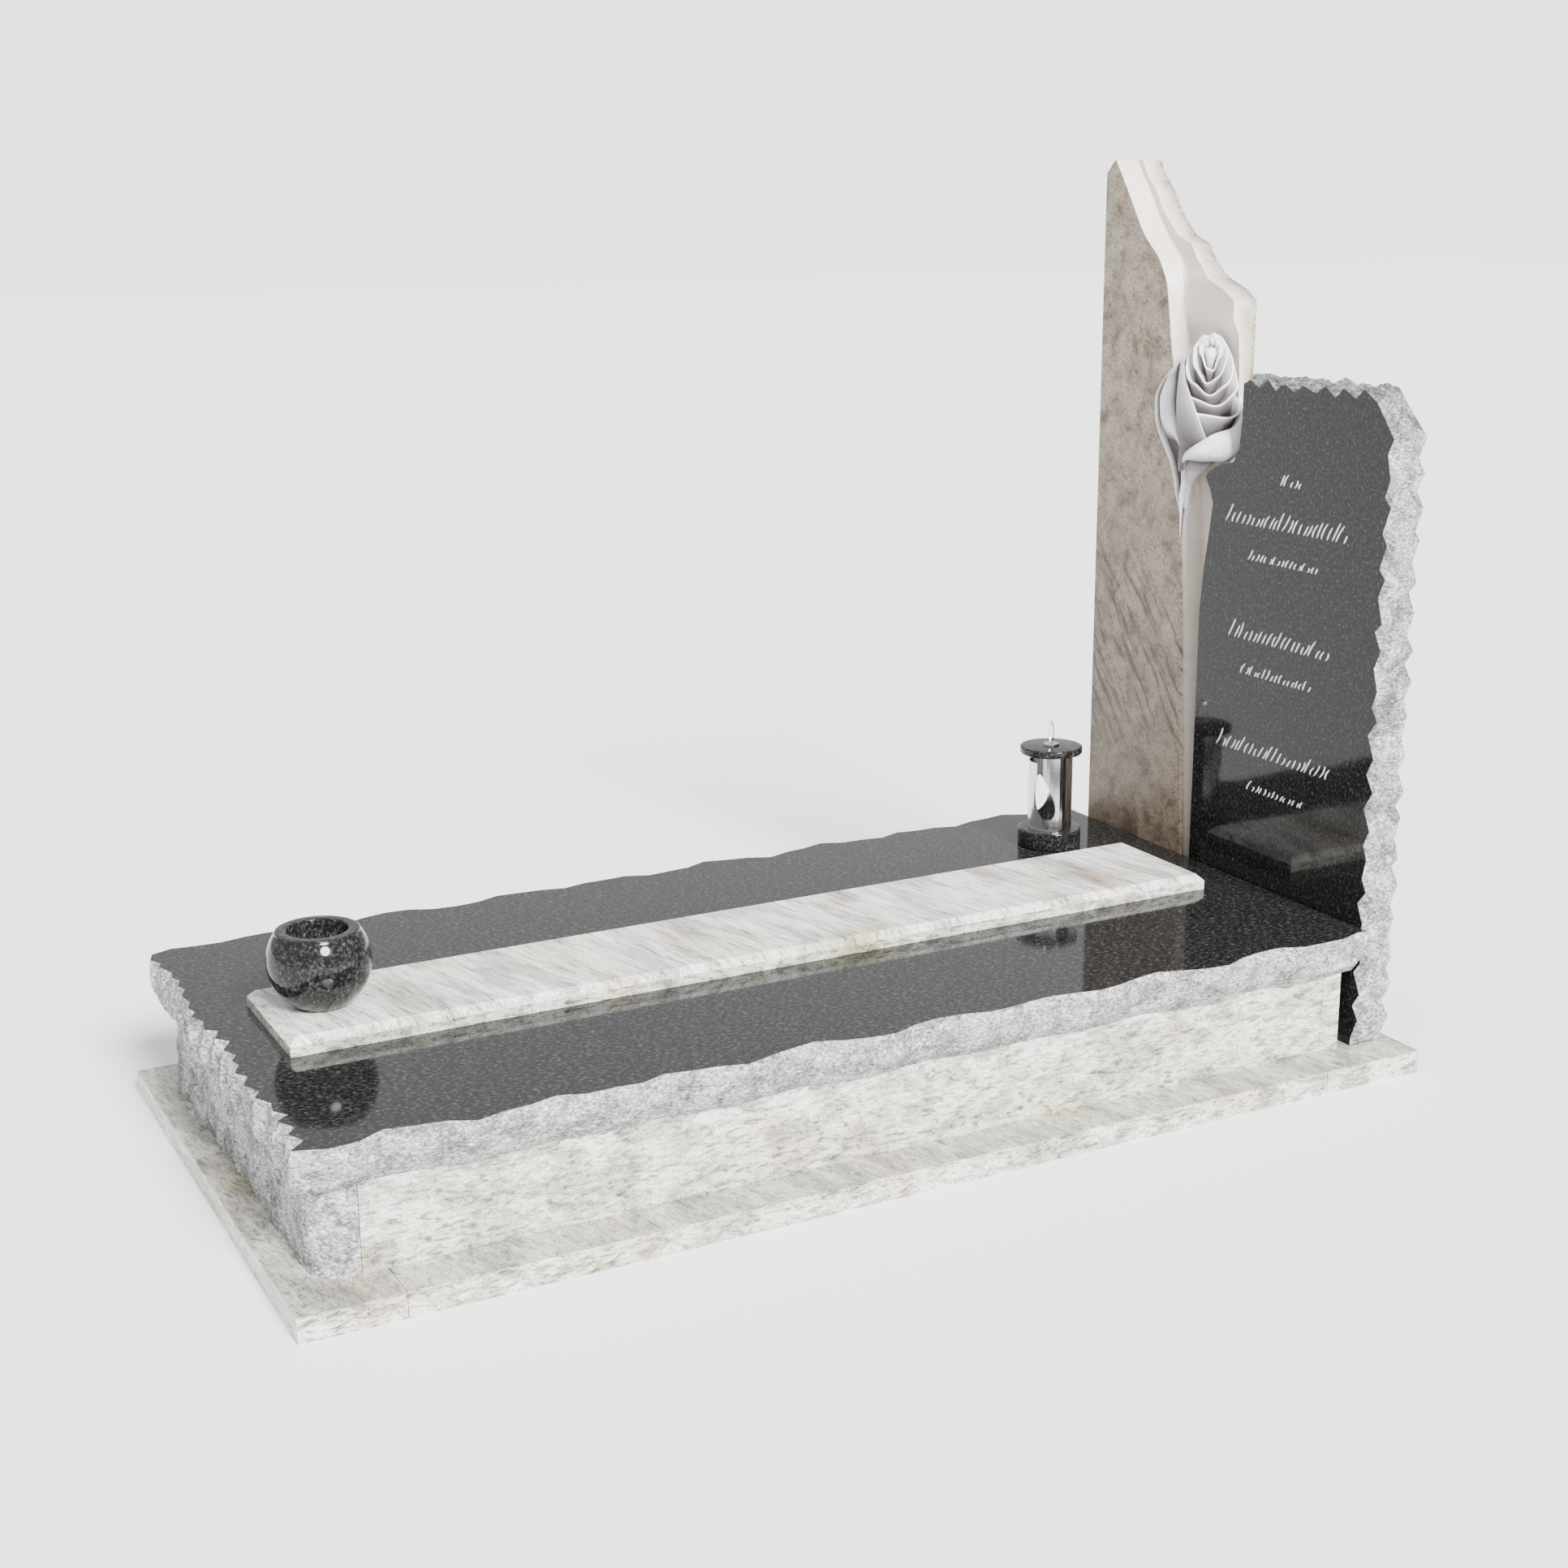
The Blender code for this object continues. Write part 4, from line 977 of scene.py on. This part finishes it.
def rose_profile(angle):
    """Radius, height and hollowness at each angle, over every lip in turn.

    Each petal starts deep in the pocket behind the one outside it, leans out
    under its own lip and turns over. The outermost petal folds outwards in a
    thick roll. The hollowness is painted shade, most in the pockets and none
    on the lips.
    """
    def girth(height):
        return smooth_table(ROSE_GIRTH, height)
    face = 0.5 + 0.5 * np.cos(angle - 0.3)
    rings = []
    lip = np.zeros_like(angle)
    for number, (front, back, curl, lips) in enumerate(ROSE_RINGS):
        ripple = 0.0025 * np.sin(angle * (3 + number) + 1.7 * number)
        lip = np.maximum(round_values(lips, angle) + ripple, lip - DEEPEST_STEP)
        radius = girth(lip) * share_at(front, back, angle) + curl * face
        rings.append((radius, lip))
    roll = sizes().roll * round_values(ROLL, angle)
    radius, lip = rings[0]
    radius = radius + ROLL_BULGE * np.exp(-((angle - 1.1) / 0.6) ** 2)
    # The third number of each key is painted shade, from 0 on a lip to 1 deep in a pocket
    keys = [
        (radius - 0.9 * roll, lip - 1.1 * roll, 1.0),
        (radius - 0.4 * roll, lip - 1.06 * roll, 0.6),
        (radius - 0.08 * roll, lip - 0.8 * roll, 0.15),
        (radius - 0.02 * roll, lip - 0.45 * roll, 0.0),
        (radius - 0.16 * roll, lip - 0.1 * roll, 0.0),
        (radius - 0.3 * roll, lip, 0.0),
        (radius - 0.42 * roll - 0.003, lip - 0.12 * roll, 0.35),
    ]
    front, back, tip = ROSE_BUD
    bud = share_at(front, back, angle)
    low_before = lip
    for radius, lip in rings[1:]:
        low = np.minimum(low_before, lip) - POCKET_DEPTH
        cut = sizes().undercut * (0.35 + 0.65 * face)
        rise = lip - low
        keys += [
            (radius - 1.1 * cut, low, 1.0),
            (radius - cut, low + 0.3 * rise, 1.0),
            (radius - 0.75 * cut, low + 0.6 * rise, 0.9),
            (radius - 0.15 * cut, low + 0.86 * rise, 0.55),
            (radius + 0.05 * cut, lip - 0.0025, 0.0),
            (radius - 0.4 * sizes().lip, lip, 0.0),
            (radius - sizes().lip, lip - 0.003, 0.15),
        ]
        low_before = lip
    low = lip - POCKET_DEPTH
    for rise, swell, hollow in ((0.0, 0.9, 1.0), (0.5, 1.0, 0.5), (0.85, 0.75, 0.1),
                                (1.0, 0.3, 0.0)):
        height = low + rise * (tip - low)
        keys.append((girth(height) * bud * swell, height, hollow))
    return keys


def rose_rings():
    """Rings up the calyx and over every lip to the bud, and their painted shade."""
    columns, steps = 300, 6
    angle = np.linspace(-math.pi, math.pi, columns, endpoint=False)
    turn = math.radians(ROSE_TURN)
    left = np.array([-math.cos(turn), math.sin(turn), 0.0])
    forward = np.array([-math.sin(turn), -math.cos(turn), 0.0])
    outward = joined(np.cos(angle), np.sin(angle), 0.0)
    keys, hollow = [], []
    for height, radius, aside, ahead in CALYX:
        keys.append(outward * radius + left * aside + forward * ahead + (0, 0, height))
        hollow.append(CALYX_PAINTED_SHADE)
    for radius, height, depth in rose_profile(angle):
        point = outward * radius[:, None]
        point[:, 2] = height
        keys.append(point)
        hollow.append(depth)
    rings = rose_place(curve_through(np.array(keys), steps))
    place = np.arange(len(rings)) / steps
    shade = np.interp(place, np.arange(len(hollow)), hollow)
    return rings, np.repeat(shade, columns)


def tall_petal_rings():
    """Sections of the tall petal round the rose, and their painted shade.

    Each follows the rose's girth up outside and down inside. The lip is
    rounded by a square root, and turns out by the cube of the climb.
    """
    steps, levels = 150, 26
    t = np.linspace(0, 1, steps)
    left, right = (math.radians(a) for a in TALL_PETAL_EDGES)
    angle = left + (right - left) * t
    lip = smooth_table(TALL_PETAL_LIP, t) + 0.002 * np.sin(9 * angle)
    inner, outer = TALL_PETAL_SHARES
    foot = (0.04 * np.clip((t - 0.6) / 0.4, 0, 1) ** 2)[:, None]
    climb = np.linspace(0, 1, levels)
    height = foot + (lip[:, None] - foot) * climb
    girth = smooth_table(ROSE_GIRTH, height)
    middle, half = 0.5 * (inner + outer), 0.5 * (outer - inner)
    pinch = np.sqrt(np.clip((1 - climb) / 0.06, 0, 1))
    turned = np.clip((t[:, None] - 0.45) / 0.3, 0, 1)
    flare = (0.012 * turned - 0.004) * climb ** 3 - 0.002 * np.sin(math.pi * climb)
    out = girth * (middle + half * pinch) + flare
    back = girth * (middle - half * pinch) + flare
    radius = np.concatenate((out, back[:, ::-1][:, 1:]), axis=1)
    level = np.concatenate((height, height[:, ::-1][:, 1:]), axis=1)
    angle = angle[:, None]
    # Painted shade, darkest low down on the outer face and deep inside
    outside = np.clip(1.1 - climb ** 2 * 1.2, 0, 1)
    shade = np.tile(np.concatenate((outside, (1 - climb)[::-1][1:])), steps)
    return rose_place(joined(radius * np.cos(angle), radius * np.sin(angle), level)), shade


class MONUMENT_OT_rose(bpy.types.Operator):
    """Rose head with its calyx, and the tall petal that wraps its left"""
    bl_idname = "monument.rose"
    bl_label = "Rose"

    def execute(self, context):
        for name, shape, sharp in (("rose", rose_rings, 75.0),
                                   ("rose_tall_petal", tall_petal_rings, 60.0)):
            rings, shade = shape()
            item = loft_piece(name, rings, [finish(carved_granite_painted_light_and_shade)], sharp, hollow=shade)
            dress(item, [])
        return {"FINISHED"}


LEAF_LEFT = (
    (0.830, 0.2665), (0.870, 0.2665), (0.902, 0.264), (0.937, 0.255), (0.971, 0.240),
    (0.998, 0.219), (1.022, 0.200), (1.053, 0.188), (1.082, 0.187), (1.106, 0.200),
    (1.130, 0.222), (1.150, 0.242),
)
LEAF_RIGHT = (
    (0.830, 0.2672), (0.870, 0.2705), (0.904, 0.280), (0.940, 0.290), (0.978, 0.290),
    (1.009, 0.279), (1.039, 0.262), (1.070, 0.249), (1.096, 0.246), (1.150, 0.244),
)
LEAF_TOP = (
    # across the leaf near its top: u, reach in metres. The low strip from u 0.78 to 1 takes
    # full painted shade, as the dark groove beside the leaf
    (-1.0, 0.0), (-0.96, 0.011), (-0.86, 0.011), (-0.78, 0.003), (-0.6, 0.008),
    (0.0, 0.016), (0.4, 0.018), (0.66, 0.014), (0.78, 0.003), (1.0, 0.001),
)
LEAF_LOW = (
    (-1.0, 0.0), (-0.94, 0.013), (-0.80, 0.012), (-0.62, 0.002), (-0.1, 0.000),
    (0.4, 0.006), (0.78, 0.018), (0.93, 0.018), (1.0, 0.0),
)


def leaf_rings():
    """Sections of the leaf between two edges measured up the stele.

    Across it, u runs from -1 to 1. High up, a thin rim and a broad swell face
    the front. Lower down, both turn into ridges with a channel between them.
    The lower a point lies, the more painted shade it gets.
    """
    height = np.linspace(LEAF_LEFT[0][0], LEAF_LEFT[-1][0], 200)
    near, far = smooth_table(LEAF_LEFT, height), smooth_table(LEAF_RIGHT, height)
    u = np.concatenate((np.linspace(-1, -0.6, 24, endpoint=False), np.linspace(-0.6, 1, 50)))
    high = np.clip((height - 0.99) / 0.06, 0, 1)
    high = (high * high * (3 - 2 * high))[:, None]
    across = high * smooth_table(LEAF_TOP, u) + (1 - high) * smooth_table(LEAF_LOW, u)
    fade = np.clip((far - near) / 0.02, 0, 1) ** 0.7
    x = near[:, None] + (far - near)[:, None] * (0.5 + 0.5 * u)
    y = -across * fade[:, None]
    back_x = x[:, [-1, len(u) // 2, 0]]
    back_y = np.broadcast_to((0.008, 0.02, 0.03), back_x.shape)
    # Painted shade: the lower a point lies, the darker, so the channels and the right strip are
    # darkest, and the back gets none
    shade = np.concatenate((np.clip(1.4 - across / 0.008, 0, 1), 0 * back_x), axis=1)
    x = np.concatenate((x, back_x), axis=1)
    y = np.concatenate((y, back_y), axis=1)
    return joined(x, y, height[:, None]) + STELE_CORNER, shade


class MONUMENT_OT_leaf(bpy.types.Operator):
    """Leaf that grows out of the stem beside the rose"""
    bl_idname = "monument.leaf"
    bl_label = "Leaf"

    def execute(self, context):
        rings, shade = leaf_rings()
        item = loft_piece("leaf", rings, [finish(carved_granite_painted_light_and_shade)], 60.0, hollow=shade)
        dress(item, [])
        return {"FINISHED"}


# Vase and lantern

TURNED_STEPS = 96
TURNED_EDGE = 0.003
VASE_BALL, VASE_FOOT = 0.081, 0.035


def turned_rings(profile, centre):
    """Rings of a turned piece: each (radius, height) of the profile goes round."""
    angle = np.linspace(0, math.tau, TURNED_STEPS, endpoint=False)
    radius, height = np.asarray(profile, dtype=float).T[..., None]
    return joined(radius * np.cos(angle), radius * np.sin(angle), height) + centre


def node_centre(name):
    """Middle of a node in plan, at its underside, and its size."""
    low, high = (np.array(corner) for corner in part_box(name))
    centre = (low + high) / 2
    return np.array((centre[0], centre[1], low[2])), high - low


def quarter(radius, start, steps=6):
    """Points of a quarter circle that starts at an angle in degrees."""
    angle = math.radians(start) + np.linspace(0, math.pi / 2, steps)
    return radius * np.stack((np.cos(angle), np.sin(angle)), axis=-1)


def disc_profile(radius, height, ease):
    """Radius and height up a disc whose edges are quarter circles."""
    lower = quarter(ease, -90) + (radius - ease, ease)
    upper = quarter(ease, 0) + (radius - ease, height - ease)
    return np.concatenate(([(0.001, 0.0)], lower, upper, [(0.001, height)]))


def vase_profile(ball, foot, height, ease):
    """Radius and height up the ball, over its rim and down its bore."""
    bore, floor = sizes().bore, 0.022
    middle = math.sqrt(ball ** 2 - foot ** 2)
    angle = np.linspace(math.asin(-middle / ball),
                        math.asin((height - ease - middle) / ball), 44)
    outside = np.stack((ball * np.cos(angle), middle + ball * np.sin(angle)), axis=-1)
    rim = quarter(ease, 0)[1:] + (outside[-1, 0] - ease, height - ease)
    lip = quarter(ease, 90) + (bore + ease, height - ease)
    inside = [(bore, floor + ease), (bore - ease, floor), (0.001, floor)]
    return np.concatenate(([(0.001, 0.0)], outside, rim, lip, inside))


class MONUMENT_OT_vase(bpy.types.Operator):
    """Ball vase: a sphere cut flat at its foot and rim, with a drilled bore"""
    bl_idname = "monument.vase"
    bl_label = "Vase"

    def execute(self, context):
        centre, size = node_centre("vase")
        profile = vase_profile(VASE_BALL, VASE_FOOT, size[2], TURNED_EDGE)
        item = loft_piece("ball_vase", turned_rings(profile, centre),
                          [finish(dark_granite)], 50.0)
        dress(item, ["vase"])
        return {"FINISHED"}


class MONUMENT_OT_lantern(bpy.types.Operator):
    """Grave lantern: turned stone base and lid, steel tube and handle"""
    bl_idname = "monument.lantern"
    bl_label = "Lantern"

    def execute(self, context):
        for name, node in (("lantern_foot", "lantern_base"), ("lantern_cap", "lantern_lid")):
            centre, size = node_centre(node)
            profile = disc_profile(size[0] / 2, size[2], TURNED_EDGE)
            item = loft_piece(name, turned_rings(profile, centre),
                              [finish(dark_granite)], 50.0)
            dress(item, [node])
        for node in ("lantern_tube", "lantern_handle"):
            NODES[node].material_slots[0].material = finish(polished_steel)
        return {"FINISHED"}


# Stage

CAMERA_PLACE = (3.2004, -1.6684, 1.5133)
CAMERA_YAW, CAMERA_PITCH, CAMERA_ROLL = -62.35, 15.11, -0.41
CAMERA_LENS = 51.0
SUN_PLACE, SUN_TARGET = (5.2, 0.3, 4.2), (0, 0.1, 0.5)
SUN_STRENGTH, SUN_ANGLE = 13.0, 20.0
WORLD_STRENGTH, WORLD_SEEN = 1.0, 2.8
FLOOR_REACH = 30.0


def camera_matrix():
    """Place and turn of the camera, from its yaw, pitch and roll in degrees."""
    yaw, pitch, roll = (math.radians(a) for a in (CAMERA_YAW, CAMERA_PITCH, CAMERA_ROLL))
    forward = Vector((math.sin(yaw) * math.cos(pitch), math.cos(yaw) * math.cos(pitch),
                      -math.sin(pitch)))
    right = forward.cross(Vector((0, 0, 1))).normalized()
    up = right.cross(forward)
    across = right * math.cos(roll) + up * math.sin(roll)
    upward = up * math.cos(roll) - right * math.sin(roll)
    matrix = Matrix((across, upward, -forward)).transposed().to_4x4()
    matrix.translation = Vector(CAMERA_PLACE)
    return matrix


class MONUMENT_OT_stage(bpy.types.Operator):
    """Camera at the photograph's angle, a pale floor and a soft high light"""
    bl_idname = "monument.stage"
    bl_label = "Stage"

    def execute(self, context):
        scene = context.scene
        data = bpy.data.cameras.new("camera")
        data.sensor_width = 36.0
        data.lens = CAMERA_LENS
        camera = bpy.data.objects.new("camera", data)
        camera.matrix_world = camera_matrix()
        scene.collection.objects.link(camera)
        scene.camera = camera

        made = new_material("pale_floor", 0.9)[0]
        shader = made.node_tree.nodes["Principled BSDF"]
        shader.inputs["Base Color"].default_value = colours().floor
        mesh = bpy.data.meshes.new("floor")
        mesh.from_pydata([(x * FLOOR_REACH, y * FLOOR_REACH, 0) for x, y in
                          ((-1, -1), (1, -1), (1, 1), (-1, 1))], [], [(0, 1, 2, 3)])
        mesh.materials.append(made)
        floor = bpy.data.objects.new("floor", mesh)
        scene.collection.objects.link(floor)

        light = bpy.data.lights.new("key", "SUN")
        light.energy = SUN_STRENGTH
        light.angle = math.radians(SUN_ANGLE)
        key = bpy.data.objects.new("key", light)
        key.rotation_euler = (Vector(SUN_TARGET) - Vector(SUN_PLACE)).to_track_quat(
            "-Z", "Y").to_euler()
        scene.collection.objects.link(key)

        # The world shows brighter behind the stones than it lights them
        world = bpy.data.worlds.new("studio")
        world.use_nodes = True
        tree = world.node_tree
        background = tree.nodes["Background"]
        background.inputs["Color"].default_value = (1, 1, 1, 1)
        seen = add_node(tree, "LightPath").outputs["Is Camera Ray"]
        strength = add_node(tree, "MapRange", {"To Min": WORLD_STRENGTH, "To Max": WORLD_SEEN},
                            {"Value": seen})
        tree.links.new(strength.outputs[0], background.inputs["Strength"])
        scene.world = world
        return {"FINISHED"}


# Add-on

STEPS = (
    MONUMENT_OT_slabs, MONUMENT_OT_cover, MONUMENT_OT_foot_block, MONUMENT_OT_headstone,
    MONUMENT_OT_strokes, MONUMENT_OT_stele, MONUMENT_OT_rose, MONUMENT_OT_leaf,
    MONUMENT_OT_vase, MONUMENT_OT_lantern, MONUMENT_OT_stage,
)


class MONUMENT_PT_panel(bpy.types.Panel):
    """Settings and buttons of the monument"""
    bl_label = "Grave Monument"
    bl_space_type = "VIEW_3D"
    bl_region_type = "UI"
    bl_category = "Monument"

    def draw(self, context):
        for group in (context.scene.monument_sizes, context.scene.monument_colours):
            box = self.layout.box()
            for key in type(group).__annotations__:
                box.prop(group, key)
        for step in STEPS:
            self.layout.operator(step.bl_idname)


CLASSES = (MonumentSizes, MonumentColours) + STEPS + (MONUMENT_PT_panel,)


def register():
    """Register the classes and give the scene its settings."""
    for item in CLASSES:
        bpy.utils.register_class(item)
    bpy.types.Scene.monument_sizes = bpy.props.PointerProperty(type=MonumentSizes)
    bpy.types.Scene.monument_colours = bpy.props.PointerProperty(type=MonumentColours)


def unregister():
    """Take the settings and the classes away."""
    del bpy.types.Scene.monument_colours
    del bpy.types.Scene.monument_sizes
    for item in reversed(CLASSES):
        bpy.utils.unregister_class(item)


def main():
    """Make every piece."""
    register()
    monument = bpy.ops.monument
    monument.slabs()
    monument.cover()
    monument.foot_block()
    monument.headstone()
    monument.strokes()
    monument.stele()
    monument.rose()
    monument.leaf()
    monument.vase()
    monument.lantern()
    monument.stage()


if __name__ == "__main__":
    main()
